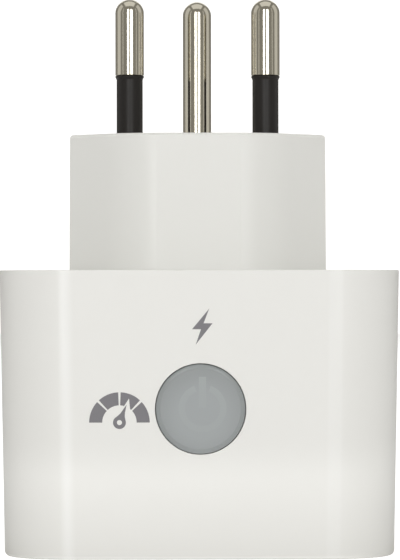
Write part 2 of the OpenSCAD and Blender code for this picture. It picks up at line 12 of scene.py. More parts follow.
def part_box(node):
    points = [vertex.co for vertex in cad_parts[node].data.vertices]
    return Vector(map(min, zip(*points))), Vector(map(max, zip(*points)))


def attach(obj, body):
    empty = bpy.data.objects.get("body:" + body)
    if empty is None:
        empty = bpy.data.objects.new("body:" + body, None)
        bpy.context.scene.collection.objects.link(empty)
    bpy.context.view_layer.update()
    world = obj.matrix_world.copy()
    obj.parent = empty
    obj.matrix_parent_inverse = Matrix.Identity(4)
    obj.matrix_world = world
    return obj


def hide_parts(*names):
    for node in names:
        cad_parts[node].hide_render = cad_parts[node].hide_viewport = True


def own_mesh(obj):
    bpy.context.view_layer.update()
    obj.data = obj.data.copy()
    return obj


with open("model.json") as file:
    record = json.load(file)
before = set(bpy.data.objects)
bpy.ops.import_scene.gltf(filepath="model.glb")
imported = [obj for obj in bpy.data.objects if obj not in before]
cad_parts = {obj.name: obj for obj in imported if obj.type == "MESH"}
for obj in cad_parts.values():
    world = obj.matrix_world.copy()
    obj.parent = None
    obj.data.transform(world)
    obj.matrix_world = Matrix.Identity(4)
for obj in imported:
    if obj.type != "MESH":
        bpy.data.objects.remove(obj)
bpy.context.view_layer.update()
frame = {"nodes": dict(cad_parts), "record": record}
MM = 0.001

# ---- Sizes taken from the frame ----

SHELL_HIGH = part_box("housing_shell")[1]
COVER_LOW, COVER_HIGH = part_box("plug_cover")
BUTTON_LOW, BUTTON_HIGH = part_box("power_button")
FLOOR_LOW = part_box("socket_floor")[0]
SLEEVE_LOW, SLEEVE_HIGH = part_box("line_pin_sleeve")
PIN_LOW, PIN_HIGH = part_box("line_pin")
EARTH_LOW, EARTH_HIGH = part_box("earth_pin")
BOARD_LOW, BOARD_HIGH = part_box("main_board")
CONTROL_LOW, CONTROL_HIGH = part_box("control_board")

BODY_HALF_W = SHELL_HIGH.x
BODY_HALF_D = SHELL_HIGH.y
BODY_TOP = SHELL_HIGH.z
PLUG_TOP = COVER_HIGH.z
BUTTON_Z = (BUTTON_LOW.z + BUTTON_HIGH.z) / 2
BUTTON_FRONT = BUTTON_LOW.y
FLANGE_Y = BUTTON_HIGH.y - 0.9 * MM
COLLAR_R = (PIN_HIGH.x - PIN_LOW.x) / 2
PIN_X = (PIN_LOW.x + PIN_HIGH.x) / 2
EARTH_Y = (EARTH_LOW.y + EARTH_HIGH.y) / 2
RIM_Z = BUTTON_Z - 0.8 * MM

# ---- Sizes of the mouldings ----

WALL = 2 * MM
CORNER_R = 9.8 * MM
CREASE = math.radians(6)
CREASE_TURN = math.radians(10)
CREASE_R = CORNER_R * (math.cos(CREASE) - math.cos(CREASE_TURN)) / (1 - math.cos(CREASE_TURN))
DRAFT = math.radians(1)
FOOT_R = 0.7 * MM
PLUG_HALF_W = 17.95 * MM
PLUG_HALF_D = 8.3 * MM
PLUG_FLAT = 5.8 * MM
PLUG_R = 12 * MM
PLUG_SLANT = math.radians(43)
PLUG_DRAFT = math.radians(0.25)
PLUG_WALL = 1.8 * MM
PLUG_EDGE_R = 0.5 * MM
RECESS_GAP = 0.6 * MM
TUNNEL_WALL = 1.5 * MM
PLATE_FIT = 0.2 * MM
RIM_R = 0.15 * MM
GROOVE_R = 1.8 * MM
GROOVE_H = 0.6 * MM
GAP = 0.02 * MM
SLACK = 0.05 * MM
LEAD_R = 0.35 * MM
LEAD_END = BOARD_HIGH.z + 0.6 * MM
BUTTON_HOLE_R = 6.1 * MM
PIN_R = 2 * MM
CORE_R = 1.25 * MM
SLEEVE_R = 1.83 * MM
POST_R = 3 * MM
SCREW_HOLE_R = 1.6 * MM
COUNTERBORE_R = 2.8 * MM
COUNTERBORE_Z = BODY_TOP - 1.8 * MM
POSTS = [(x, y) for x in (-19.5 * MM, 19.5 * MM) for y in (-14.8 * MM, 14.8 * MM)]
EARS = [(-21.5 * MM, 0), (21.5 * MM, 0)]
EAR_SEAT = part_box("carrier_screws")[1].z - 1.2 * MM
PINS = [(PIN_X, 0), (-PIN_X, 0), (0, EARTH_Y)]

ARC_STEPS = 28
CREASE_STEPS = 8
ROUND = 64


# ---- New objects and the camera ----

def new_object(name, data):
    made = bpy.data.objects.new(name, data)
    bpy.context.scene.collection.objects.link(made)
    return made


def mesh_object(name, bm):
    mesh = bpy.data.meshes.new(name)
    bm.to_mesh(mesh)
    bm.free()
    return new_object(name, mesh)


def place_camera():
    data = bpy.data.cameras.new("camera")
    data.lens = 229.2
    data.sensor_width = 36
    data.clip_start = 0.01
    data.clip_end = 20
    camera = new_object("camera", data)
    camera.location = (-7.95 * MM, -499 * MM, 36 * MM)
    camera.rotation_euler = (math.radians(90.172), math.radians(0.07), math.radians(-0.948))
    bpy.context.scene.camera = camera


place_camera()


# ---- Mesh helpers ----

def link_loop(bm, verts):
    """Edges that join the vertices in order and close the loop."""
    pairs = zip(verts, verts[1:] + verts[:1])
    return [bm.edges.get(pair) or bm.edges.new(pair) for pair in pairs]


def spun(bm, start, centre, angle, steps):
    """The vertices that one leaves behind it as it turns about an upright axis."""
    before = set(bm.verts)
    bmesh.ops.spin(
        bm, geom=[start], cent=(*centre, start.co.z), axis=(0, 0, 1), angle=angle, steps=steps
    )
    return [v for v in bm.verts if v not in before]


def arc_verts(bm, centre, r, first, last, z, steps=ARC_STEPS):
    """Vertices on an arc, made by spinning the first one."""
    start = bm.verts.new((centre[0] + r * math.cos(first), centre[1] + r * math.sin(first), z))
    return [start] + spun(bm, start, centre, last - first, steps)


def verts_of(geom):
    return [g for g in geom if isinstance(g, bmesh.types.BMVert)]


def mirrored_ring(bm, quarter, scale=1.0):
    """A closed loop from the vertices of one quarter, mirrored to all four."""
    verts = list(quarter)
    for axis in "XY":
        verts += verts_of(bmesh.ops.mirror(bm, geom=verts, axis=axis, merge_dist=0)["geom"])
    bmesh.ops.scale(bm, vec=(scale, scale, 1), verts=verts)
    return link_loop(bm, sorted(verts, key=lambda v: math.atan2(v.co.y, v.co.x)))


def taper(z):
    """Size of the body's section at height z against the one at its top."""
    return 1 - (BODY_TOP - z) * math.tan(DRAFT) / BODY_HALF_W


def plate_ring(bm, inset, z, scale=1.0):
    """The body's outline, with a soft crease where each corner meets the flat faces at the
    front and back. At full size it serves the cover plate and the main board."""
    centre = (BODY_HALF_W - CORNER_R, BODY_HALF_D - CORNER_R * math.cos(CREASE))
    turn = math.pi / 2 - CREASE_TURN
    shift = CORNER_R - CREASE_R
    crease_centre = (centre[0] + shift * math.cos(turn), centre[1] + shift * math.sin(turn))
    arc = arc_verts(bm, centre, CORNER_R - inset, 0, turn, z)
    crease = spun(bm, arc[-1], crease_centre, CREASE_TURN, CREASE_STEPS)
    return mirrored_ring(bm, arc + crease, scale)


def body_ring(bm, inset, z):
    return plate_ring(bm, inset, z, taper(z))


def plug_ring(bm, inset, z):
    centre = (PLUG_FLAT - PLUG_R * math.sin(CREASE), PLUG_HALF_D - PLUG_R * math.cos(CREASE))
    r = PLUG_R - inset
    arc = arc_verts(bm, centre, r, math.pi / 2 - PLUG_SLANT, math.pi / 2 - CREASE, z)
    foot = arc[0].co
    end_x = min(PLUG_HALF_W - inset, foot.x + foot.y / math.tan(PLUG_SLANT))
    end_y = max(foot.y - (end_x - foot.x) * math.tan(PLUG_SLANT), 0.01 * MM)
    end = bm.verts.new((end_x, end_y, z))
    return mirrored_ring(bm, arc + [end])


def edges_round(verts):
    """The edges at the vertices, each once and always in the same order."""
    return list(dict.fromkeys(e for v in verts for e in v.link_edges))


def circle_at(bm, r, place):
    """A round loop about the origin of a placement."""
    made = bmesh.ops.create_circle(bm, radius=r, segments=ROUND, matrix=place)
    return edges_round(made["verts"])


def circle_ring(bm, r, z, at=(0, 0)):
    return circle_at(bm, r, Matrix.Translation((*at, z)))


def fill(bm, *loops):
    """A flat face between an outer loop and the loops of its holes."""
    bmesh.ops.triangle_fill(bm, use_beauty=True, edges=[e for loop in loops for e in loop])


def join_rings(bm, rings):
    """Walls between each loop and the next, or a flat face where both lie level."""
    for low, high in zip(rings, rings[1:]):
        heights = {round(v.co.z, 7) for e in low + high for v in e.verts}
        if len(heights) == 1:
            fill(bm, low, high)
        else:
            bmesh.ops.bridge_loops(bm, edges=low + high)


def rounding(a, b, steps=4):
    """Points (inset, height) after a on a quarter of an ellipse that leaves a upright
    and arrives at b level."""
    turns = [math.pi / 2 * (i + 1) / steps for i in range(steps)]
    return [
        (a[0] + (b[0] - a[0]) * (1 - math.cos(t)), a[1] + (b[1] - a[1]) * math.sin(t))
        for t in turns
    ]


def rounding_from_level(a, b, steps=4):
    """The same, but it leaves a level and arrives at b upright."""
    back = rounding(b, a, steps)[:-1]
    return back[::-1] + [b]


def rings(bm, make, points, **place):
    """One loop for each (inset or radius, height)."""
    return [make(bm, inset, z, **place) for inset, z in points]


def in_mm(points, base=0.0):
    """(radius, height) points in millimetres, turned into metres above a base."""
    return [(r * MM, base + h * MM) for r, h in points]


def lathe(bm, profile, at=(0, 0), axis="Z", steps=ROUND, index=0):
    """A turned shape from (radius, height) points, about Z at a place, or about Y at (x, z)."""
    before = set(bm.faces)
    if axis == "Z":
        points = [(at[0] + r, at[1], h) for r, h in profile]
        centre, spindle = (at[0], at[1], 0), (0, 0, 1)
    else:
        points = [(at[0] + r, h, at[1]) for r, h in profile]
        centre, spindle = (at[0], 0, at[1]), (0, 1, 0)
    verts = [bm.verts.new(p) for p in points]
    edges = [bm.edges.new(pair) for pair in zip(verts, verts[1:])]
    bmesh.ops.spin(
        bm, geom=verts + edges, cent=centre, axis=spindle, angle=math.tau, steps=steps, use_merge=True
    )
    bmesh.ops.remove_doubles(bm, verts=bm.verts, dist=1e-7)
    mark_new(bm, before, index)


def mark_new(bm, before, index):
    """Gives a material index to the faces that weren't there before."""
    for face in bm.faces:
        if face not in before:
            face.material_index = index


def box_in(bm, low, high):
    """A box between two corners; gives its vertices."""
    low, high = Vector(low), Vector(high)
    size = high - low
    place = Matrix.Translation((low + high) / 2) @ Matrix.Diagonal((*size, 1))
    return bmesh.ops.create_cube(bm, size=1, matrix=place)["verts"]


def sharp_edges(bm, over):
    limit = math.radians(over)
    return [e for e in bm.edges if len(e.link_faces) == 2 and e.calc_face_angle(0) > limit]


def edge_way(edge):
    return (edge.verts[1].co - edge.verts[0].co).normalized()


def soften(bm, width):
    """Rounds every edge that turns more than 35 degrees."""
    bmesh.ops.bevel(
        bm, geom=sharp_edges(bm, 35), offset=width, segments=2, profile=0.5,
        affect="EDGES", material=-1, clamp_overlap=True, loop_slide=True
    )


def finish_piece(name, bm, slot, replaces=(), body="housing", sharp=32, creases=False, extra=None):
    """Turns a bmesh into a piece that rides on a body, with smooth shading between its
    sharp edges. Faces of material index 1 take the extra slot's finish."""
    bmesh.ops.recalc_face_normals(bm, faces=bm.faces)
    for face in bm.faces:
        face.smooth = True
    upright = [e for e in sharp_edges(bm, 5) if creases and abs(edge_way(e).z) > 0.9]
    for edge in sharp_edges(bm, sharp) + upright:
        edge.smooth = False
    piece = mesh_object(name, bm)
    for used in filter(None, (slot, extra)):
        piece.data.materials.append(MATERIALS[used])
    shading = piece.modifiers.new("weighted_normals", "WEIGHTED_NORMAL")
    shading.keep_sharp = True
    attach(piece, body)
    if replaces:
        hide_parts(*replaces)
    return piece


# ---- Shader groups ----

def new_group(name, inputs, outputs):
    """A node group with named float or colour inputs (name, default) and outputs."""
    group = bpy.data.node_groups.new(name, "ShaderNodeTree")
    for label, default in inputs:
        kind = "NodeSocketColor" if hasattr(default, "__len__") else "NodeSocketFloat"
        socket = group.interface.new_socket(name=label, in_out="INPUT", socket_type=kind)
        socket.default_value = default
    for label, kind in outputs:
        group.interface.new_socket(name=label, in_out="OUTPUT", socket_type=kind)
    entry = group.nodes.new("NodeGroupInput")
    leave = group.nodes.new("NodeGroupOutput")
    return group, entry.outputs, leave.inputs


def add(tree, kind, **settings):
    node = tree.nodes.new(kind)
    for key, value in settings.items():
        setattr(node, key, value)
    return node


def join(tree, source, target):
    """Links a socket to another, or sets it when the source is a plain number."""
    if isinstance(source, (int, float)):
        target.default_value = source
    else:
        tree.links.new(source, target)


def preset(node, **values):
    """Sets some inputs of a node; underscores stand for spaces."""
    for key, value in values.items():
        node.inputs[key.replace("_", " ")].default_value = value


def math_node(tree, operation, a, b=None, c=None, clamp=False):
    """A maths node whose inputs are sockets or numbers; gives its output socket."""
    node = add(tree, "ShaderNodeMath", operation=operation, use_clamp=clamp)
    for value, target in zip((a, b, c), node.inputs):
        if value is not None:
            join(tree, value, target)
    return node.outputs[0]


def object_place(tree, stretch=(1, 1, 1)):
    """Object coordinates, stretched along the axes."""
    place = add(tree, "ShaderNodeTexCoord")
    mapping = add(tree, "ShaderNodeMapping")
    preset(mapping, Scale=stretch)
    join(tree, place.outputs["Object"], mapping.inputs["Vector"])
    return mapping.outputs["Vector"]


def noise(tree, vector, scale, detail=2.0, rough=0.5):
    node = add(tree, "ShaderNodeTexNoise")
    preset(node, Detail=detail, Roughness=rough)
    join(tree, vector, node.inputs["Vector"])
    join(tree, scale, node.inputs["Scale"])
    return node.outputs["Fac"]


def mix_colors(group, amount, first, second, result):
    """The group's colour: the first input where the amount is 0, the second where it is 1."""
    mix = add(group, "ShaderNodeMix", data_type="RGBA")
    join(group, amount, mix.inputs["Factor"])
    join(group, first, mix.inputs["A"])
    join(group, second, mix.inputs["B"])
    join(group, mix.outputs["Result"], result["Color"])


def smooth_rise(group, value, low, high):
    """Rises softly from 0 to 1 as a value goes from low to high."""
    spread = add(group, "ShaderNodeMapRange", interpolation_type="SMOOTHSTEP")
    join(group, value, spread.inputs["Value"])
    join(group, low, spread.inputs["From Min"])
    join(group, high, spread.inputs["From Max"])
    return spread.outputs["Result"]


def object_axes(group):
    """The X, Y and Z of Object coordinates, each on its own."""
    place = add(group, "ShaderNodeTexCoord")
    split = add(group, "ShaderNodeSeparateXYZ")
    join(group, place.outputs["Object"], split.inputs[0])
    return split.outputs


def mottle_group():
    """A colour that drifts between two others in soft clouds and fine specks."""
    group, given, result = new_group(
        "mottle",
        [("Color", (0.8, 0.8, 0.8, 1)), ("Other", (0.7, 0.7, 0.7, 1)), ("Scale", 40.0), ("Speck", 0.1)],
        [("Color", "NodeSocketColor")],
    )
    place = object_place(group)
    cloud = noise(group, place, given["Scale"], 3)
    speck = noise(group, place, math_node(group, "MULTIPLY", given["Scale"], 60.0), 1)
    fine = math_node(group, "MULTIPLY", math_node(group, "SUBTRACT", speck, 0.5), given["Speck"])
    amount = math_node(group, "ADD", cloud, fine, clamp=True)
    mix_colors(group, amount, given["Color"], given["Other"], result)
    return group


def handling_group():
    """Roughness with soft smudges where the part is handled, and fine scratches."""
    group, given, result = new_group(
        "handling",
        [("Base", 0.4), ("Smudge", 0.08), ("Scratch", 0.05), ("Scale", 60.0)],
        [("Roughness", "NodeSocketFloat")],
    )
    soft = noise(group, object_place(group), given["Scale"], 4)
    smudge = math_node(group, "MULTIPLY", math_node(group, "SUBTRACT", soft, 0.5), given["Smudge"])
    finer = math_node(group, "MULTIPLY", given["Scale"], 6.0)
    streak = noise(group, object_place(group, (40, 1.5, 6)), finer, 2)
    thin = math_node(group, "GREATER_THAN", streak, 0.66)
    scratch = math_node(group, "MULTIPLY", thin, given["Scratch"])
    total = math_node(group, "ADD", given["Base"], smudge)
    join(group, math_node(group, "ADD", total, scratch, clamp=True), result["Roughness"])
    return group


def grain_group():
    """Height of a fine moulded or blasted grain with a longer ripple under it."""
    group, given, result = new_group(
        "grain",
        [("Scale", 3000.0), ("Ripple", 0.3)],
        [("Height", "NodeSocketFloat")],
    )
    place = object_place(group)
    fine = noise(group, place, given["Scale"], 2, 0.6)
    long = noise(group, place, math_node(group, "MULTIPLY", given["Scale"], 0.06), 2)
    ripple = math_node(group, "MULTIPLY", long, given["Ripple"])
    join(group, math_node(group, "ADD", fine, ripple), result["Height"])
    return group


def drawn_group():
    """Height of fine lines left by drawing or turning, along one axis."""
    group, given, result = new_group(
        "drawn_lines",
        [("Across X", 1.0), ("Across Y", 1.0), ("Across Z", 0.02), ("Scale", 4000.0)],
        [("Height", "NodeSocketFloat")],
    )
    place = add(group, "ShaderNodeTexCoord")
    pull = add(group, "ShaderNodeCombineXYZ")
    for axis in "XYZ":
        join(group, given[f"Across {axis}"], pull.inputs[axis])
    stretched = add(group, "ShaderNodeVectorMath", operation="MULTIPLY")
    join(group, place.outputs["Object"], stretched.inputs[0])
    join(group, pull.outputs[0], stretched.inputs[1])
    join(group, noise(group, stretched.outputs[0], given["Scale"], 3, 0.6), result["Height"])
    return group


def rim_tone_group():
    """A colour that turns to another with the distance from an axis along Y."""
    group, given, result = new_group(
        "rim_tone",
        [("Color", (0.4, 0.4, 0.4, 1)), ("Rim", (0.3, 0.3, 0.3, 1)), ("Height", 0.0),
         ("Start", 0.003), ("End", 0.006)],
        [("Color", "NodeSocketColor")],
    )
    axes = object_axes(group)
    rise = math_node(group, "SUBTRACT", axes["Z"], given["Height"])
    across = math_node(group, "MULTIPLY", axes["X"], axes["X"])
    square = math_node(group, "ADD", across, math_node(group, "MULTIPLY", rise, rise))
    away = math_node(group, "SQRT", square)
    amount = smooth_rise(group, away, given["Start"], given["End"])
    mix_colors(group, amount, given["Color"], given["Rim"], result)
    return group


def painted_highlight_group():
    """A painted highlight: a colour that turns lighter along the body's drafted creases, where the
    front lights' reflection falls, and less so on the right, where the light is weaker.
    """
    group, given, result = new_group(
        "painted_crease_highlight",
        [("Color", (0.8, 0.8, 0.8, 1)), ("Ridge", (0.9, 0.9, 0.9, 1)), ("Place", 0.018),
         ("Width", 0.001)],
        [("Color", "NodeSocketColor")],
    )
    axes = object_axes(group)
    lean = math.tan(DRAFT) / BODY_HALF_W
    section = math_node(group, "MULTIPLY_ADD", axes["Z"], lean, 1 - BODY_TOP * lean)
    across = math_node(group, "ABSOLUTE", math_node(group, "DIVIDE", axes["X"], section))
    away = math_node(group, "ABSOLUTE", math_node(group, "SUBTRACT", across, given["Place"]))
    spread = smooth_rise(group, away, 0, given["Width"])
    # Weaker painted highlight on the right, which the light reaches less.
    right = math_node(group, "GREATER_THAN", axes["X"], 0.0)
    least = math_node(group, "MULTIPLY", right, 0.65)
    amount = math_node(group, "MAXIMUM", spread, least)
    mix_colors(group, amount, given["Ridge"], given["Color"], result)
    return group


MOTTLE = mottle_group()
HANDLING = handling_group()
GRAIN = grain_group()
DRAWN = drawn_group()
RIM_TONE = rim_tone_group()
PAINTED_HIGHLIGHT = painted_highlight_group()


# ---- Materials ----

def use(tree, group, **values):
    node = add(tree, "ShaderNodeGroup", node_tree=group)
    preset(node, **values)
    return node


def recolored(tree, tone, group, **values):
    """A group node that works on another's colour."""
    node = use(tree, group, **values)
    join(tree, tone.outputs["Color"], node.inputs["Color"])
    return node


def rgb(red, green, blue):
    return (red, green, blue, 1)


def new_material(name):
    """A material, its node tree and its main shader."""
    material = bpy.data.materials.new(name)
    material.use_nodes = True
    return material, material.node_tree, material.node_tree.nodes["Principled BSDF"]


def finish(slot, color, other=None, roughness=0.4, smudge=0.06, scratch=0.02, metallic=0.0,
           grain=3000.0, depth=0.1, ripple=0.3, drawn=None, coat=0.0, speck=0.1, clouds=40.0,
           gloss=0.5, rim=None, crease_highlight=None):
    """Makes a slot's material, with mottled colour, handled roughness and a fine relief. depth
    is the relief's height in hundredths of a millimetre; drawn is the stretch of drawn lines."""
    material, tree, shader = new_material(slot)
    preset(shader, Metallic=metallic, Specular_IOR_Level=gloss)
    preset(shader, Coat_Weight=coat, Coat_Roughness=0.15)
    other = other or [c * 0.94 for c in color]
    tone = use(tree, MOTTLE, Color=rgb(*color), Other=rgb(*other), Scale=clouds, Speck=speck)
    if rim:
        tone = recolored(
            tree, tone, RIM_TONE, Rim=rgb(*rim), Height=RIM_Z, Start=2.6 * MM, End=6.4 * MM
        )
    # A painted highlight: lighter base colour along the front and back creases, standing in for the
    # lights' reflection there.
    if crease_highlight:
        tone = recolored(tree, tone, PAINTED_HIGHLIGHT, Ridge=rgb(*crease_highlight), Place=18.2 * MM, Width=1.3 * MM)
    join(tree, tone.outputs["Color"], shader.inputs["Base Color"])
    rough = use(tree, HANDLING, Base=roughness, Smudge=smudge, Scratch=scratch)
    join(tree, rough.outputs["Roughness"], shader.inputs["Roughness"])
    if drawn:
        along = dict(zip(("Across_X", "Across_Y", "Across_Z"), drawn))
        relief = use(tree, DRAWN, Scale=grain, **along)
    else:
        relief = use(tree, GRAIN, Scale=grain, Ripple=ripple)
    bump = add(tree, "ShaderNodeBump")
    preset(bump, Distance=depth * 0.01 * MM)
    join(tree, relief.outputs["Height"], bump.inputs["Height"])
    join(tree, bump.outputs["Normal"], shader.inputs["Normal"])
    MATERIALS[slot] = material


MATERIALS = {}

# The shell's base colour carries a painted highlight along its creases.
finish("white_shell", (0.79, 0.79, 0.768), (0.78, 0.78, 0.755), roughness=0.42, grain=4200,
       depth=0.35, speck=0.04, coat=0.28, crease_highlight=(0.84, 0.843, 0.826))
finish("white_gloss", (0.755, 0.757, 0.735), (0.745, 0.747, 0.722), roughness=0.34, grain=3600,
       depth=0.2, speck=0.03)
finish("print_grey", (0.185, 0.18, 0.195), roughness=0.5, grain=6000, depth=0.3, speck=0.3)
finish("nickel", (0.55, 0.52, 0.44), (0.51, 0.48, 0.4), roughness=0.12, smudge=0.05, scratch=0.05,
       metallic=1, grain=3500, depth=0.25, drawn=(1, 1, 0.015))
finish("sleeve_black", (0.014, 0.0125, 0.0115), (0.018, 0.016, 0.0145), roughness=0.36, gloss=0.22,
       grain=3500, depth=0.4)
finish("zinc_steel", (0.6, 0.61, 0.62), (0.52, 0.54, 0.57), roughness=0.28, scratch=0.1,
       metallic=1, grain=5000, depth=0.3)
finish("floor_white", (0.76, 0.76, 0.735), roughness=0.45, grain=4200, depth=0.3)
finish("shutter_red", (0.5, 0.055, 0.03), (0.42, 0.045, 0.025), roughness=0.36, grain=4200,
       depth=0.2)
finish("button_grey", (0.325, 0.348, 0.355), (0.305, 0.328, 0.336), roughness=0.36, coat=0.25,
       grain=4200, depth=0.15, speck=0.05, clouds=160, rim=(0.265, 0.285, 0.288))
finish("brass", (0.63, 0.44, 0.17), (0.55, 0.36, 0.13), roughness=0.3, scratch=0.1, metallic=1,
       grain=4000, depth=0.4, drawn=(1, 1, 0.03))
finish("spring_steel", (0.5, 0.5, 0.51), roughness=0.25, metallic=1, grain=6000, depth=0.2)
finish("carrier_grey", (0.1, 0.1, 0.105), (0.13, 0.13, 0.135), roughness=0.6, depth=0.8)
finish("guide_grey", (0.28, 0.28, 0.29), roughness=0.5, depth=0.5)
finish("board_green", (0.015, 0.13, 0.05), (0.03, 0.2, 0.08), roughness=0.3, clouds=500,
       depth=0.6, coat=0.3)
finish("header_black", (0.02, 0.02, 0.02), roughness=0.5, depth=0.5)
finish("switch_body", (0.03, 0.03, 0.032), roughness=0.45, depth=0.4)
finish("plunger_black", (0.05, 0.05, 0.05), roughness=0.4, depth=0.3)
finish("led_white", (0.85, 0.78, 0.45), roughness=0.2, coat=0.4)
finish("relay_base_black", (0.03, 0.03, 0.03), roughness=0.55, depth=0.5)
finish("relay_blue", (0.02, 0.09, 0.36), roughness=0.32, depth=0.2)
finish("bobbin_ivory", (0.7, 0.63, 0.46), roughness=0.5, depth=0.4)
finish("copper_wire", (0.55, 0.17, 0.06), (0.42, 0.12, 0.04), roughness=0.25, metallic=1,
       coat=0.5, grain=9000, depth=2, drawn=(0.02, 0.02, 1))
finish("soft_iron", (0.45, 0.46, 0.48), roughness=0.36, scratch=0.1, metallic=1, depth=0.4)
finish("shunt_alloy", (0.5, 0.33, 0.18), roughness=0.35, metallic=1, depth=0.4)
finish("chip_black", (0.018, 0.018, 0.02), (0.03, 0.03, 0.032), roughness=0.55, depth=0.8)
finish("radio_blue", (0.01, 0.03, 0.2), (0.02, 0.06, 0.3), roughness=0.3, clouds=500, depth=0.6,
       coat=0.3)
finish("shield_tin", (0.66, 0.66, 0.65), (0.58, 0.58, 0.57), roughness=0.3, metallic=1, depth=0.4)
finish("can_blue", (0.012, 0.03, 0.16), roughness=0.28, coat=0.3, depth=0.2)
finish("film_yellow", (0.72, 0.46, 0.05), roughness=0.35, depth=0.3)
finish("choke_dark", (0.045, 0.048, 0.05), (0.07, 0.07, 0.072), roughness=0.6, depth=1)
finish("varistor_blue", (0.02, 0.12, 0.42), roughness=0.3, coat=0.3, depth=1, ripple=1.5)
finish("resistor_blue", (0.28, 0.45, 0.6), roughness=0.55, depth=1)
finish("button_symbol", (0.336, 0.36, 0.367), roughness=0.36, coat=0.25, grain=4200, depth=0.15)


def dress_frame():
    """Every carried-over CAD node gets the finish of its slot."""
    for row in frame["record"]["subparts"]:
        node = frame["nodes"][row["node"]]
        node.data.materials.clear()
        node.data.materials.append(MATERIALS[row["material_slot"]])


dress_frame()


# ---- Housing ----

def front_tilt():
    """Turn about X from level to the drafted front face."""
    return math.pi / 2 + math.atan(BODY_HALF_D * math.tan(DRAFT) / BODY_HALF_W)


def front_y(z, inset=0.0):
    return -(BODY_HALF_D - inset) * taper(z)


def on_front(x, z, inset=0.0):
    """Place on the front wall, with local Z pointing out of it."""
    return Matrix.Translation((x, front_y(z, inset), z)) @ Matrix.Rotation(front_tilt(), 4, "X")


def open_front(bm, y, hole):
    """Refills the flat front face near depth y with a round hole in it."""
    faces = [f for f in bm.faces if abs(f.calc_center_median().y - y) < 0.5 * MM]
    face = max(faces, key=lambda f: f.calc_area())
    edges = list(face.edges)
    bmesh.ops.delete(bm, geom=[face], context="FACES_ONLY")
    fill(bm, edges, hole)


def add_post(bm, at, r, bore, low, high, bore_low):
    """A round post with a blind bore from its top."""
    lip = 0.2 * MM
    outside = [(0, low), (r, low), (r, high - lip / 2), (r - lip / 2, high)]
    inside = [(bore + lip, high), (bore, high - lip), (bore, bore_low), (0, bore_low)]
    lathe(bm, outside + inside, at=at, steps=40)


def add_ribs(bm):
    """A rib from each screw post to its corner."""
    for x, y in POSTS:
        verts = box_in(bm, (0, -0.6 * MM, WALL * 0.9), (5.6 * MM, 0.6 * MM, BOARD_LOW.z - 3 * MM))
        turn = Matrix.Rotation(math.atan2(y * BODY_HALF_W, x * BODY_HALF_D), 3, "Z")
        bmesh.ops.rotate(bm, verts=verts, cent=(0, 0, 0), matrix=turn)
        bmesh.ops.translate(bm, verts=verts, vec=(x, y, 0))


def add_rails(bm):
    """Rails behind the front wall that hold the control board by its edges."""
    edge = CONTROL_HIGH.x
    front = -BODY_HALF_D + WALL - 0.2 * MM
    slot_front = CONTROL_LOW.y - SLACK
    slot_back = CONTROL_HIGH.y + SLACK
    back = CONTROL_HIGH.y + 1 * MM
    groove = edge + 0.1 * MM
    floor = WALL * 0.9
    high = 29 * MM
    for side in (-1, 1):
        bars = [
            (edge - 0.8 * MM, edge + 1.2 * MM, front, slot_front),
            (edge - 0.8 * MM, edge + 1.2 * MM, slot_back, back),
            (groove, edge + 1.2 * MM, slot_front - SLACK, slot_back + SLACK),
        ]
        for x0, x1, y0, y1 in bars:
            low_x, high_x = sorted((side * x0, side * x1))
            box_in(bm, (low_x, y0, floor), (high_x, y1, high))


def build_shell():
    bm = bmesh.new()
    foot = body_ring(bm, FOOT_R, 0)
    upright = (0, BODY_TOP - RIM_R)
    outside = [foot] + rings(bm, body_ring, rounding_from_level((FOOT_R, 0), (0, FOOT_R), 6))
    outside += rings(bm, body_ring, [upright] + rounding(upright, (RIM_R, BODY_TOP), 3))
    lip = (WALL - RIM_R, BODY_TOP)
    down = rounding_from_level(lip, (WALL, BODY_TOP - RIM_R), 3)
    inside = rings(bm, body_ring, [lip] + down + [(WALL, WALL)])
    join_rings(bm, outside + inside)
    tunnel_top = FLOOR_LOW.z - GAP
    tunnel_out = -RECESS_GAP - TUNNEL_WALL
    tunnel = rings(bm, plug_ring, [(tunnel_out, WALL), (tunnel_out, tunnel_top)])
    mouth = 0.4 * MM
    recess = rings(bm, plug_ring, [(-RECESS_GAP, tunnel_top), (-RECESS_GAP, mouth)])
    recess += rings(bm, plug_ring, rounding((-RECESS_GAP, mouth), (-RECESS_GAP - mouth, 0), 4))
    join_rings(bm, tunnel + recess)
    fill(bm, inside[-1], tunnel[0])
    fill(bm, foot, recess[-1])
    edge = 0.06 * MM
    steps = [(edge, 0), (edge * 0.3, edge * 0.3), (0, edge), (0, WALL)]
    bore = [
        circle_at(bm, BUTTON_HOLE_R + wider, on_front(0, BUTTON_Z, inset))
        for wider, inset in steps
    ]
    join_rings(bm, bore)
    open_front(bm, front_y(BODY_TOP / 2), bore[0])
    open_front(bm, front_y(BODY_TOP / 2, WALL), bore[-1])
    add_ribs(bm)
    add_rails(bm)
    for post in POSTS:
        add_post(bm, post, POST_R, 1.5 * MM, WALL * 0.9, BOARD_LOW.z - SLACK, 17 * MM)
    for ear in EARS:
        add_post(bm, ear, 2.4 * MM, 1.15 * MM, WALL * 0.9, tunnel_top, 4 * MM)
    finish_piece("body_shell", bm, "white_shell", ["housing_shell"], creases=True)


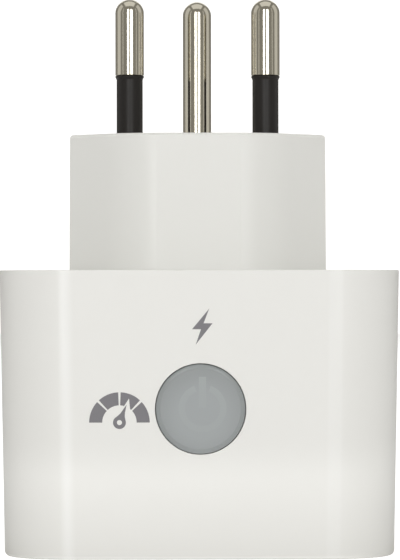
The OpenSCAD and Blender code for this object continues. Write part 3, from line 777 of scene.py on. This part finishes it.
def build_cover():
    bm = bmesh.new()
    lean = (PLUG_TOP - BODY_TOP) * math.tan(PLUG_DRAFT)
    side_top = (lean, PLUG_TOP - PLUG_EDGE_R)
    end_edge = (lean + PLUG_EDGE_R, PLUG_TOP)
    block = rings(bm, plug_ring, [(0, BODY_TOP), side_top] + rounding(side_top, end_edge, 5))
    join_rings(bm, block)
    edge = WALL + PLATE_FIT
    plate_edge = (edge + RIM_R, BODY_TOP)
    down = rounding_from_level(plate_edge, (edge, BODY_TOP - RIM_R), 3)
    plate = rings(bm, plate_ring, [plate_edge] + down + [(edge, BODY_TOP - WALL)])
    join_rings(bm, plate)
    chamfer = 0.2 * MM
    well_path = [
        (COUNTERBORE_R + chamfer, BODY_TOP),
        (COUNTERBORE_R, BODY_TOP - chamfer),
        (COUNTERBORE_R, COUNTERBORE_Z),
        (SCREW_HOLE_R, COUNTERBORE_Z),
        (SCREW_HOLE_R, COVER_LOW.z),
        (POST_R, COVER_LOW.z),
        (POST_R, BODY_TOP - WALL),
    ]
    wells = [rings(bm, circle_ring, well_path, at=post) for post in POSTS]
    for well in wells:
        join_rings(bm, well)
    cavity_top = SLEEVE_LOW.z
    cavity = rings(bm, plug_ring, [(PLUG_WALL, BODY_TOP - WALL), (PLUG_WALL, cavity_top)])
    join_rings(bm, cavity)
    radii = (SLEEVE_R, SLEEVE_R, PIN_R)
    holes = [
        rings(bm, circle_ring, [(r + GAP, PLUG_TOP), (r + GAP, cavity_top)], at=at)
        for at, r in zip(PINS, radii)
    ]
    for hole in holes:
        join_rings(bm, hole)
    fill(bm, block[-1], *[hole[0] for hole in holes])
    fill(bm, cavity[-1], *[hole[1] for hole in holes])
    fill(bm, plate[0], block[0], *[well[0] for well in wells])
    fill(bm, plate[-1], cavity[0], *[well[-1] for well in wells])
    finish_piece("plug_block", bm, "white_gloss", ["plug_cover"], creases=True)


# ---- Pins and sleeves ----

def dome(r, z):
    """The profile of a round tip that starts at radius r and height z."""
    steps = 14
    turns = [math.pi / 2 * i / steps for i in range(1, steps)]
    return [(r, z)] + [(r * math.cos(t), z + r * math.sin(t)) for t in turns] + [(0, z + r)]


def pin_foot():
    """The profile inside the block: the riveted tail and the collar under the end wall."""
    low = PIN_LOW.z
    wall = SLEEVE_LOW.z
    collar_low = wall - 1.6 * MM
    nick = 0.15 * MM
    return [
        (0, low), (CORE_R - nick, low), (CORE_R, low + nick), (CORE_R, collar_low),
        (COLLAR_R - nick, collar_low), (COLLAR_R, collar_low + nick),
        (COLLAR_R, wall - SLACK - nick), (COLLAR_R - nick, wall - SLACK),
    ]


def live_pin(name, at):
    bm = bmesh.new()
    shoulder = SLEEVE_HIGH.z
    nick = 0.12 * MM
    neck = [(CORE_R, SLEEVE_LOW.z - SLACK), (CORE_R, shoulder)]
    body = [(PIN_R - nick, shoulder), (PIN_R, shoulder + nick)]
    lathe(bm, pin_foot() + neck + body + dome(PIN_R, PIN_HIGH.z - PIN_R), at=at, steps=96)
    finish_piece(name + "_body", bm, "nickel", [name])


def earth_pin():
    """Bare down to the block. A flat on its collar clears the block's back wall."""
    bm = bmesh.new()
    foot = pin_foot()
    collar = [(0, foot[3][1])] + foot[3:] + [(0, foot[-1][1])]
    lathe(bm, collar, at=(0, EARTH_Y), steps=96)
    cut = bmesh.ops.bisect_plane(
        bm, geom=bm.verts[:] + bm.edges[:] + bm.faces[:],
        plane_co=(0, PLUG_HALF_D - PLUG_WALL - SLACK, 0), plane_no=(0, 1, 0), clear_outer=True,
    )
    rim = [g for g in cut["geom_cut"] if isinstance(g, bmesh.types.BMEdge)]
    bmesh.ops.holes_fill(bm, edges=rim)
    groove_low = PLUG_TOP - GROOVE_H
    root = [(PIN_R, SLEEVE_LOW.z), (PIN_R, groove_low), (GROOVE_R, groove_low)]
    root += [(GROOVE_R, PLUG_TOP), (PIN_R, PLUG_TOP)]
    profile = foot[:3] + [(CORE_R, SLEEVE_LOW.z)] + root + dome(PIN_R, EARTH_HIGH.z - PIN_R)
    lathe(bm, profile, at=(0, EARTH_Y), steps=96)
    finish_piece("earth_pin_body", bm, "nickel", ["earth_pin"])


def pin_sleeve(name, at):
    """Ends in a bead as wide as the pin."""
    bm = bmesh.new()
    low = SLEEVE_LOW.z
    top = SLEEVE_HIGH.z
    bore = CORE_R + GAP
    bead = 0.25 * MM
    nick = 0.06 * MM
    outside = [
        (bore, low), (SLEEVE_R, low), (SLEEVE_R, top - 2.2 * bead),
        (SLEEVE_R + 0.03 * MM, top - 1.9 * bead), (PIN_R - 0.03 * MM, top - bead),
        (PIN_R, top - 0.8 * bead), (PIN_R, top - nick), (PIN_R - nick, top), (bore, top), (bore, low),
    ]
    lathe(bm, outside, at=at, steps=96)
    finish_piece(name + "_moulding", bm, "sleeve_black", [name])


# ---- Screws ----

def cross_ring(bm, at, half, arm, z):
    """A loop in the shape of a cross."""
    verts = []
    for k in range(4):
        turn = Matrix.Rotation(math.pi / 2 * k, 3, "Z")
        for x, y in ((half, arm), (-half, arm), (-half, half)):
            verts.append(bm.verts.new(turn @ Vector((x, y, 0)) + Vector((*at, z))))
    return link_loop(bm, verts)


def add_screw(bm, at, seat, head_r, head_h, r, length):
    """A pan-head screw with a cross recess and a coarse thread."""
    top = seat + head_h
    land = head_r * 0.72
    crown = [
        (land, top), (head_r * 0.84, top - 0.07 * head_h), (head_r * 0.93, top - 0.28 * head_h),
        (head_r * 0.99, seat + 0.35 * head_h), (head_r * 0.99, seat + 0.08 * MM),
        (head_r * 0.96, seat), (r * 0.8, seat),
    ]
    pitch = 0.9 * MM
    turns = int((length - 2 * r) / pitch)
    thread = []
    for i in range(turns):
        z = seat - r * 0.6 - i * pitch
        thread += [(r * 0.8, z), (r, z - pitch * 0.45), (r, z - pitch * 0.55)]
    tip = [(r * 0.75, seat - length), (0.15 * MM, seat - length - r)]
    lathe(bm, crown + thread + tip + [(0, seat - length - r)], at=at, steps=40)
    rim = [e for e in bm.edges if e.is_boundary]
    arm = head_r * 0.55
    half = 0.3 * MM
    mouth = cross_ring(bm, at, half, arm, top)
    floor = cross_ring(bm, at, half * 0.6, arm * 0.55, seat + 0.3 * head_h)
    join_rings(bm, [mouth, floor])
    fill(bm, rim, mouth)
    fill(bm, floor)


def build_screws(name, node, places, seat, sizes):
    """Equal screws on one seat; sizes in mm are the head's radius and height, the thread's
    radius and the length."""
    head_r, head_h, r, length = [size * MM for size in sizes]
    bm = bmesh.new()
    for at in places:
        add_screw(bm, at, seat, head_r, head_h, r, length)
    finish_piece(name, bm, "zinc_steel", [node], sharp=28)


# ---- Button and printed signs ----

def build_button():
    """A cup-shaped cap with a sloping rim, a flange behind the wall and a stem."""
    bm = bmesh.new()
    face = [(0, 0), (5.4, 0), (5.46, 0.04), (5.52, 0.05), (5.85, 0.16), (5.96, 0.22), (6, 0.28)]
    flange = [(6, 0), (6.9, 0), (7, 0.1), (7, 0.7), (6.9, 0.8), (5, 0.8)]
    hollow = [(5, 1.2), (1.6, 1.2)]
    stem = [(1.6, -0.1), (1.5, 0), (0, 0)]
    profile = in_mm(face, BUTTON_FRONT) + in_mm(flange, FLANGE_Y)
    profile += in_mm(hollow, BUTTON_FRONT) + in_mm(stem, BUTTON_HIGH.y)
    lathe(bm, profile, at=(0, BUTTON_Z), axis="Y", steps=128)
    finish_piece("button_cap", bm, "button_grey", ["power_button"], "button")


def sector(bm, inner, outer, first, last, steps=12, notch=()):
    """A flat piece of a ring, with optional points that cut into its inner edge."""
    out = arc_verts(bm, (0, 0), outer, first, last, 0, steps)
    if notch:
        left, peak, right = [Vector((x, y, 0)) for x, y in notch]
        stop = math.atan2(left.y, left.x)
        start = math.atan2(right.y, right.x)
        back = arc_verts(bm, (0, 0), inner, last, stop, 0, steps // 2)
        back.append(bm.verts.new(peak))
        back += arc_verts(bm, (0, 0), inner, start, first, 0, steps // 2)
    else:
        back = arc_verts(bm, (0, 0), inner, last, first, 0, steps)
    fill(bm, link_loop(bm, out + back))


def polygon(bm, points):
    fill(bm, link_loop(bm, [bm.verts.new((x, y, 0)) for x, y in points]))


def printed(name, bm, place, slot, body="housing"):
    """Turns flat shapes in mm into a thin film in a surface and makes it a piece."""
    depth = 0.02 * MM
    proud = 0.008 * MM
    bmesh.ops.scale(bm, vec=(MM, MM, MM), verts=bm.verts)
    made = bmesh.ops.extrude_face_region(bm, geom=bm.faces[:], use_keep_orig=True)["geom"]
    bmesh.ops.translate(bm, verts=verts_of(made), vec=(0, 0, depth))
    bmesh.ops.translate(bm, verts=bm.verts, vec=(0, 0, proud - depth))
    bmesh.ops.transform(bm, matrix=place, verts=bm.verts)
    finish_piece(name, bm, slot, body=body)


def build_gauge():
    """Four blocks of a half ring, a hub with a hole and a needle that cuts into one block."""
    bm = bmesh.new()
    inner, outer = 2.3, 4.05
    gap = 2.3
    spans = [(0, 45 - gap), (45 + gap, 90 - gap), (90 + gap, 135 - gap), (135 + gap, 180)]
    cut = ((0.62, 2.21), (1.28, 3.22), (1.42, 1.81))
    for i, (first, last) in enumerate(spans):
        notch = cut if i == 1 else ()
        sector(bm, inner, outer, math.radians(first), math.radians(last), notch=notch)
    hub = [arc_verts(bm, (0, 0), r, 0, math.tau * 35 / 36, 0, 35) for r in (0.34, 0.86)]
    fill(bm, *[link_loop(bm, ring) for ring in hub])
    polygon(bm, [
        (-0.6, 0.61), (-0.2, 0.92), (0.12, 1.22), (0.38, 1.58), (0.68, 2.02), (0.97, 2.42),
        (0.86, 1.9), (0.75, 1.4), (0.71, 0.95), (0.75, 0.55), (0.83, 0.2),
        (0.65, 0.55), (0.29, 0.8), (-0.15, 0.84), (-0.43, 0.73),
    ])
    printed("gauge_print", bm, on_front(-10.85 * MM, 18.4 * MM), "print_grey")


def build_bolt():
    bm = bmesh.new()
    polygon(bm, [(0.95, 2.4), (-1.35, -0.35), (-0.15, -0.35), (-0.85, -2.4), (1.4, 0.45), (0.2, 0.45)])
    printed("bolt_print", bm, on_front(0.2 * MM, 31.2 * MM), "print_grey")


def build_power_symbol():
    """A ring open at its top and a bar, set into the cap."""
    bm = bmesh.new()
    opening = math.radians(20)
    sector(bm, 2.35, 3.2, math.pi / 2 + opening, math.pi / 2 + math.tau - opening, steps=48)
    polygon(bm, [(-0.48, 0.1), (0.48, 0.1), (0.48, 4.2), (-0.48, 4.2)])
    place = Matrix.Translation((0.25 * MM, BUTTON_FRONT, BUTTON_Z + 0.1 * MM))
    place = place @ Matrix.Rotation(math.pi / 2, 4, "X")
    printed("power_symbol", bm, place, "button_symbol", "button")


# ---- Parts inside the body ----

def centre_of(node):
    low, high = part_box(node)
    return (low.x + high.x) / 2, (low.y + high.y) / 2


def copy_of(node):
    """A merged copy of a CAD mesh with its flat faces joined."""
    bm = bmesh.new()
    bm.from_mesh(frame["nodes"][node].data)
    bmesh.ops.remove_doubles(bm, verts=bm.verts, dist=1e-6)
    bmesh.ops.dissolve_limit(
        bm, angle_limit=math.radians(1), verts=bm.verts, edges=bm.edges, delimit={"NORMAL"}
    )
    return bm


def mark_outside(bm, node, first, last):
    """Gives material index 1 to faces outside a core, stated as shares of the node's box."""
    low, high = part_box(node)
    size = high - low
    near = [low[i] + first[i] * size[i] - 1e-5 for i in range(3)]
    far = [low[i] + last[i] * size[i] + 1e-5 for i in range(3)]
    for face in bm.faces:
        centre = face.calc_center_median()
        if not all(near[i] <= centre[i] <= far[i] for i in range(3)):
            face.material_index = 1


# Node, slot and width of the rounded edges in mm of the parts that only need softer edges.
SOFTENED = [
    ("button_guide", "guide_grey", 0.15), ("line_busbar", "brass", 0.1),
    ("neutral_busbar", "brass", 0.1), ("earth_busbar", "brass", 0.1),
    ("socket_floor", "floor_white", 0.3), ("safety_shutter", "shutter_red", 0.15),
    ("contact_carrier", "carrier_grey", 0.12), ("line_contact", "brass", 0.12),
    ("neutral_contact", "brass", 0.12), ("earth_contact", "brass", 0.12),
    ("control_board", "board_green", 0.05), ("board_header", "header_black", 0.08),
    ("tact_switch", "switch_body", 0.12), ("tact_plunger", "plunger_black", 0.15),
    ("status_leds", "led_white", 0.08), ("relay_base", "relay_base_black", 0.15),
    ("relay_cover", "relay_blue", 0.25), ("relay_bobbin", "bobbin_ivory", 0.1),
    ("relay_yoke", "soft_iron", 0.1), ("relay_armature", "soft_iron", 0.1),
    ("relay_contact_arm", "brass", 0.06), ("relay_fixed_contact", "brass", 0.06),
    ("relay_terminals", "shield_tin", 0.08), ("current_shunt", "shunt_alloy", 0.12),
    ("metering_chip", "chip_black", 0.06), ("converter_chip", "chip_black", 0.06),
    ("bridge_rectifier", "chip_black", 0.08), ("radio_board", "radio_blue", 0.05),
    ("radio_shield", "shield_tin", 0.2), ("suppression_capacitor", "film_yellow", 0.5),
]
MOVING = {
    "safety_shutter": "shutter", "tact_plunger": "plunger", "relay_armature": "armature",
    "relay_contact_arm": "armature",
}

# The slot of a part's leads, and the core without them as shares of the node's box.
CHIP = ("shield_tin", (0.155, 0, 0), (0.845, 1, 1))
LEADED = {
    "board_header": ("brass", (0, 0.5, 0), (1, 1, 0.47)),
    "tact_switch": ("shield_tin", (0.134, 0, 0), (0.866, 1, 1)),
    "relay_contact_arm": ("shield_tin", (0, 0, 0), (1, 1, 0.4)),
    "current_shunt": ("shield_tin", (0, 0.19, 0), (1, 0.81, 1)),
    "suppression_capacitor": ("shield_tin", (0, 0, 0), (1, 1, 0.83)),
    "metering_chip": CHIP,
    "converter_chip": CHIP,
    "bridge_rectifier": CHIP,
}


def build_softened():
    for node, slot, width in SOFTENED:
        bm = copy_of(node)
        soften(bm, width * MM)
        leads = None
        if node in LEADED:
            leads, first, last = LEADED[node]
            mark_outside(bm, node, first, last)
        body = MOVING.get(node, "housing")
        finish_piece(node + "_part", bm, slot, [node], body, extra=leads)


def add_lead(bm, at, low, high=LEAD_END):
    """A wire with rounded ends, in the extra slot's finish."""
    nick = 0.1 * MM
    foot = [(0, low), (LEAD_R - nick, low), (LEAD_R, low + nick)]
    tip = [(LEAD_R, high - nick), (LEAD_R - nick, high), (0, high)]
    lathe(bm, foot + tip, at=at, steps=16, index=1)


def add_solder(bm, at, z):
    """A solder joint with hollow flanks round a lead, in the extra slot's finish."""
    r = 0.8 * MM
    steps = [(0, 0), (1.0, 0.0), (0.72, 0.12), (0.52, 0.32), (0.42, 0.55), (0.3, 0.62), (0, 0.64)]
    lathe(bm, [(r * a, z + r * b) for a, b in steps], at=at, steps=20, index=1)


# Where leads come through the main board, in millimetres.
LEADS = [
    (17.65, -4.5), (21.15, -4.5), (18.1, 5.6), (21.1, 5.6), (6.65, 14.4), (14.15, 14.4),
    (-22.1, -5.5), (-17.1, -5.5), (-20, 6), (-20, 8.9), (-14, 13), (-14, 18), (-3.5, 12.6),
    (2.2, 15.55), (-11.4, -12.7), (-8.86, -12.7), (-6.32, -12.7), (-3.78, -12.7),
]


def build_main_board():
    bm = copy_of("main_board")
    soften(bm, 0.06 * MM)
    for x, y in LEADS:
        add_solder(bm, (x * MM, y * MM), BOARD_HIGH.z - 0.01 * MM)
    finish_piece("main_board_part", bm, "board_green", ["main_board"], extra="shield_tin")


def build_spring():
    """A round wire spun round Y with a steady advance, closed flat at both ends."""
    low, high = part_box("shutter_spring")
    wire_r = 0.18 * MM
    coil_r = (high.x - low.x) / 2 - wire_r
    mid_z = (low.z + high.z) / 2
    turns = 5
    steps = turns * 32
    length = high.y - low.y - 2 * wire_r
    start = low.y + wire_r
    bm = bmesh.new()
    made = bmesh.ops.create_circle(
        bm, radius=wire_r, segments=12, cap_ends=True,
        matrix=Matrix.Translation((coil_r, start, mid_z)),
    )
    bmesh.ops.spin(
        bm, geom=made["verts"] + bm.edges[:] + bm.faces[:], cent=(0, 0, mid_z), axis=(0, -1, 0),
        dvec=(0, length / steps, 0), angle=math.tau * turns, steps=steps,
    )
    spring = finish_piece("shutter_spring_coil", bm, "spring_steel", ["shutter_spring"])
    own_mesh(spring)


def wound(bm, at, bore, low, high, turns, radii, rise):
    """Turns of wire: the radii are where it starts, on the turns and between them; rise is
    the share of the pitch from between the turns up onto one."""
    start, crest, valley = radii
    pitch = (high - low) / turns
    outside = [(start, low)]
    for i in range(turns):
        z = low + i * pitch
        outside += [(crest, z + rise * pitch), (crest, z + (1 - rise) * pitch), (valley, z + pitch)]
    lathe(bm, [(bore, low)] + outside + [(bore, high), (bore, low)], at=at)


def build_winding():
    """The relay's coil."""
    low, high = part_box("relay_winding")
    r = (high.x - low.x) / 2
    turns = 26
    pitch = (high.z - low.z) / turns
    radii = [r - share * pitch for share in (0.35, 0.08, 0.4)]
    bm = bmesh.new()
    wound(bm, centre_of("relay_winding"), 2.25 * MM, low.z, high.z, turns, radii, 0.25)
    finish_piece("relay_winding_wire", bm, "copper_wire", ["relay_winding"], sharp=70)


def can_profile(r, h):
    """An electrolytic can in mm: rounded ends, the groove near its mouth and a rim of sleeve."""
    foot = [(0, 0), (r - 0.7, 0), (r - 0.3, 0.1), (r, 0.4), (r, 1.5)]
    groove = [(r - 0.15, 1.7), (r - 0.35, 1.95), (r - 0.15, 2.2), (r, 2.4)]
    crown = [(r, h - 0.45), (r - 0.12, h - 0.15), (r - 0.45, h - 0.02), (r - 0.9, h - 0.05)]
    return foot + groove + crown + [(r - 1, h - 0.15), (0, h - 0.15)]


def build_capacitors():
    """Two cans: one stands on the board, the other hangs under it. The can's end is bare metal."""
    bm = bmesh.new()
    top = BOARD_HIGH.z
    bottom = BOARD_LOW.z
    hung = (19.4, -4.5)
    for (x, y), r, h, way in (((0, -2.6), 3.15, 12, 1), (hung, 4, 12.5, -1)):
        base = top + GAP if way > 0 else bottom - GAP
        profile = [(a * MM, base + way * b * MM) for a, b in can_profile(r, h)]
        lathe(bm, profile, at=(x * MM, y * MM))
    for face in bm.faces:
        centre = face.calc_center_median()
        if abs(face.normal.z) > 0.8 and not bottom - MM < centre.z < top + MM:
            face.material_index = 1
    for x in (-1.25, 1.25):
        add_lead(bm, (x * MM, -2.6 * MM), bottom - 0.6 * MM, top + 0.1 * MM)
    for x in (17.65, 21.15):
        add_lead(bm, (x * MM, hung[1] * MM), bottom - 0.1 * MM)
    finish_piece("capacitor_cans", bm, "can_blue", ["bulk_capacitors"], extra="shield_tin")


def build_choke():
    """A drum core and its leads, with the turns of copper wire as a piece of their own."""
    low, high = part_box("filter_choke")
    at = centre_of("filter_choke")
    end = BOARD_LOW.z - GAP
    r = (high.x - low.x) / 2
    waist = 2.3 * MM
    nick = 0.15 * MM
    disc = 1.1 * MM
    hub = 1.2 * MM
    foot = [(0, low.z), (r - nick, low.z), (r, low.z + nick), (r, low.z + disc)]
    spool = [(r - nick, low.z + hub), (waist, low.z + hub), (waist, end - hub), (r - nick, end - hub)]
    bm = bmesh.new()
    lathe(bm, foot + spool + [(r, end - disc), (r, end - nick), (r - nick, end), (0, end)], at=at)
    for side in (-1, 1):
        add_lead(bm, (at[0] + side * 1.5 * MM, at[1]), BOARD_LOW.z - 0.1 * MM)
    finish_piece("choke_core", bm, "choke_dark", ["filter_choke"], extra="shield_tin")
    bm = bmesh.new()
    inset = 1.25 * MM
    radii = (3 * MM, 3.2 * MM, 3 * MM)
    wound(bm, at, waist, low.z + inset, end - inset, 18, radii, 0.3)
    finish_piece("choke_winding", bm, "copper_wire", ["filter_choke"], sharp=70)


def build_varistor():
    """A disc dipped in a thick coat that runs down over its leads."""
    low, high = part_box("surge_varistor")
    x, y = centre_of("surge_varistor")
    r = (high.x - low.x) / 2
    t = (high.y - low.y) / 2
    near = [(0, 1), (0.7, 1), (0.88, 0.9), (0.97, 0.55), (1, 0)]
    profile = [(r * a, y - t * b) for a, b in near]
    profile += [(r * a, y + t * b) for a, b in near[-2::-1]]
    run = [(0, 28), (0.75, 28), (0.7, 30.4), (0.5, 31.2), (0.36, 31.6), (0, 31.6)]
    bm = bmesh.new()
    lathe(bm, profile, at=(x, low.z + r), axis="Y", steps=56)
    for side in (-1, 1):
        at = (x + side * 2.5 * MM, y)
        add_lead(bm, at, 27 * MM)
        lathe(bm, in_mm(run), at=at, steps=20)
    finish_piece("varistor_disc", bm, "varistor_blue", ["surge_varistor"], extra="shield_tin")


def edges_of(bm, ring):
    return [e for e in bm.edges if all(v in ring for v in e.verts)]


def drawn_on(bm, ring, shift):
    """Draws a tube on from the loop at its end; gives the loop at the new end."""
    made = bmesh.ops.extrude_edge_only(bm, edges=edges_of(bm, ring))["geom"]
    bmesh.ops.translate(bm, verts=verts_of(made), vec=shift)
    return verts_of(made)


def bent_on(bm, ring, centre):
    """Draws a tube on through a quarter turn about X."""
    made = bmesh.ops.spin(
        bm, geom=ring + edges_of(bm, ring), cent=centre, axis=(1, 0, 0), angle=math.pi / 2, steps=8
    )
    return verts_of(made["geom_last"])


def build_resistor():
    """An upright coated resistor; its lower lead turns back up to the board."""
    x, y = -20 * MM, 6 * MM
    base = 22 * MM
    low_cap = [(0, 0), (1.5, 0), (2, 0.3), (2.2, 0.7), (2.2, 1.7), (2, 2.2)]
    high_cap = [(2, 5.9), (2.2, 6.4), (2.2, 7.4), (2, 7.8), (1.5, 8.1), (0, 8.1)]
    bm = bmesh.new()
    lathe(bm, in_mm(low_cap + high_cap, base), at=(x, y))
    add_lead(bm, (x, y), base + 8 * MM)
    before = set(bm.faces)
    stub = 0.8 * MM
    bend_r = 0.6 * MM
    turn_z = base - stub + bend_r
    span = 2.9 * MM
    start = Matrix.Translation((x, y, turn_z + stub))
    ring = bmesh.ops.create_circle(bm, radius=LEAD_R, segments=16, matrix=start)["verts"]
    ring = drawn_on(bm, ring, (0, 0, -stub))
    ring = bent_on(bm, ring, (x, y + bend_r, turn_z))
    ring = drawn_on(bm, ring, (0, span - 2 * bend_r, 0))
    ring = bent_on(bm, ring, (x, y + span - bend_r, turn_z))
    drawn_on(bm, ring, (0, 0, LEAD_END - turn_z))
    bmesh.ops.holes_fill(bm, edges=[e for e in bm.edges if e.is_boundary])
    mark_new(bm, before, 1)
    finish_piece("fuse_resistor_part", bm, "resistor_blue", ["fuse_resistor"], extra="shield_tin")


build_shell()
build_cover()
live_pin("line_pin", PINS[0])
live_pin("neutral_pin", PINS[1])
earth_pin()
pin_sleeve("line_pin_sleeve", PINS[0])
pin_sleeve("neutral_pin_sleeve", PINS[1])
build_screws("cover_screw_set", "cover_screws", POSTS, COUNTERBORE_Z, (2.5, 1.4, 1.45, 15))
build_screws("carrier_screw_set", "carrier_screws", EARS, EAR_SEAT, (2, 1.2, 1.1, 10))
build_button()
build_power_symbol()
build_gauge()
build_bolt()
build_softened()
build_main_board()
build_spring()
build_winding()
build_capacitors()
build_choke()
build_varistor()
build_resistor()


# ---- Light and stage ----

def softbox(name, place, size, radiance, aim=(0, 0, 0.03)):
    """A rectangular light, with its brightness given as seen in a mirror."""
    data = bpy.data.lights.new(name, "AREA")
    data.shape = "RECTANGLE"
    data.size, data.size_y = size
    data.energy = radiance * math.pi * size[0] * size[1]
    lamp = new_object(name, data)
    lamp.location = place
    lamp.rotation_euler = (Vector(aim) - Vector(place)).to_track_quat("-Z", "Y").to_euler()
    lamp.visible_camera = False


def stage_material(name, color, glow, open_below=False):
    """A plain pale surface that the camera sees lighter by its glow. Where it is open below,
    it hides nothing from underneath and leaves light for the face that stands on it."""
    material, tree, shader = new_material(name)
    preset(shader, Base_Color=rgb(*color), Roughness=0.9)
    sight = add(tree, "ShaderNodeLightPath")
    light = add(tree, "ShaderNodeEmission")
    seen = math_node(tree, "MULTIPLY", sight.outputs["Is Camera Ray"], glow)
    join(tree, seen, light.inputs["Strength"])
    both = add(tree, "ShaderNodeAddShader")
    join(tree, shader.outputs["BSDF"], both.inputs[0])
    join(tree, light.outputs["Emission"], both.inputs[1])
    last = both
    if open_below:
        under = add(tree, "ShaderNodeNewGeometry")
        near = math_node(tree, "LESS_THAN", sight.outputs["Ray Length"], 16 * MM)
        unseen = math_node(tree, "SUBTRACT", 1.0, sight.outputs["Is Camera Ray"])
        touching = math_node(tree, "MULTIPLY", near, unseen)
        clear = math_node(tree, "MAXIMUM", under.outputs["Backfacing"], touching)
        last = add(tree, "ShaderNodeMixShader")
        join(tree, clear, last.inputs["Fac"])
        join(tree, both.outputs["Shader"], last.inputs[1])
        join(tree, add(tree, "ShaderNodeBsdfTransparent").outputs["BSDF"], last.inputs[2])
    join(tree, last.outputs["Shader"], tree.nodes["Material Output"].inputs["Surface"])
    return material


def stage_plane(name, material, place):
    """A square plane that isn't part of the object."""
    bm = bmesh.new()
    bmesh.ops.create_grid(bm, x_segments=1, y_segments=1, size=2.5, matrix=place)
    plane = mesh_object(name, bm)
    plane.data.materials.append(material)


def build_stage():
    floor = stage_material("floor_pale", (0.86, 0.86, 0.87), 0.65, True)
    stage_plane("floor", floor, Matrix.Identity(4))
    upright = Matrix.Translation((0, 2.5, 1.2)) @ Matrix.Rotation(math.pi / 2, 4, "X")
    stage_plane("backdrop", stage_material("backdrop_white", (0.8, 0.8, 0.79), 0.9), upright)


def light_scene():
    scene = bpy.context.scene
    scene.view_settings.view_transform = "Standard"
    world = bpy.data.worlds.new("studio")
    world.use_nodes = True
    scene.world = world
    sky = world.node_tree.nodes["Background"]
    preset(sky, Color=rgb(1.0, 0.97, 0.9), Strength=0.36)
    for x, width, radiance in ((-0.2, 0.19, 6.3), (0.255, 0.31, 3.7)):
        softbox("front_strip", (x, -0.9, 0.31), (width, 0.62), radiance, (x, 0, 0.31))
    for side in (-1, 1):
        softbox("side_strip", (side * 0.9, -0.62, 0.4), (0.1, 0.8), 0.62, (0, 0, 0.1))
        softbox("side_panel", (side * 1.0, 0.1, 0.5), (0.75, 1.0), 0.5, (0, 0.02, 0.04))
    softbox("top_panel", (0, -0.1, 1.3), (1.4, 1.2), 0.7)
    softbox("back_panel", (0, 1.5, 0.9), (1.6, 1.0), 0.9)
    softbox("under_panel", (0, -0.2, -0.9), (1.2, 1.2), 1.3)


build_stage()
light_scene()
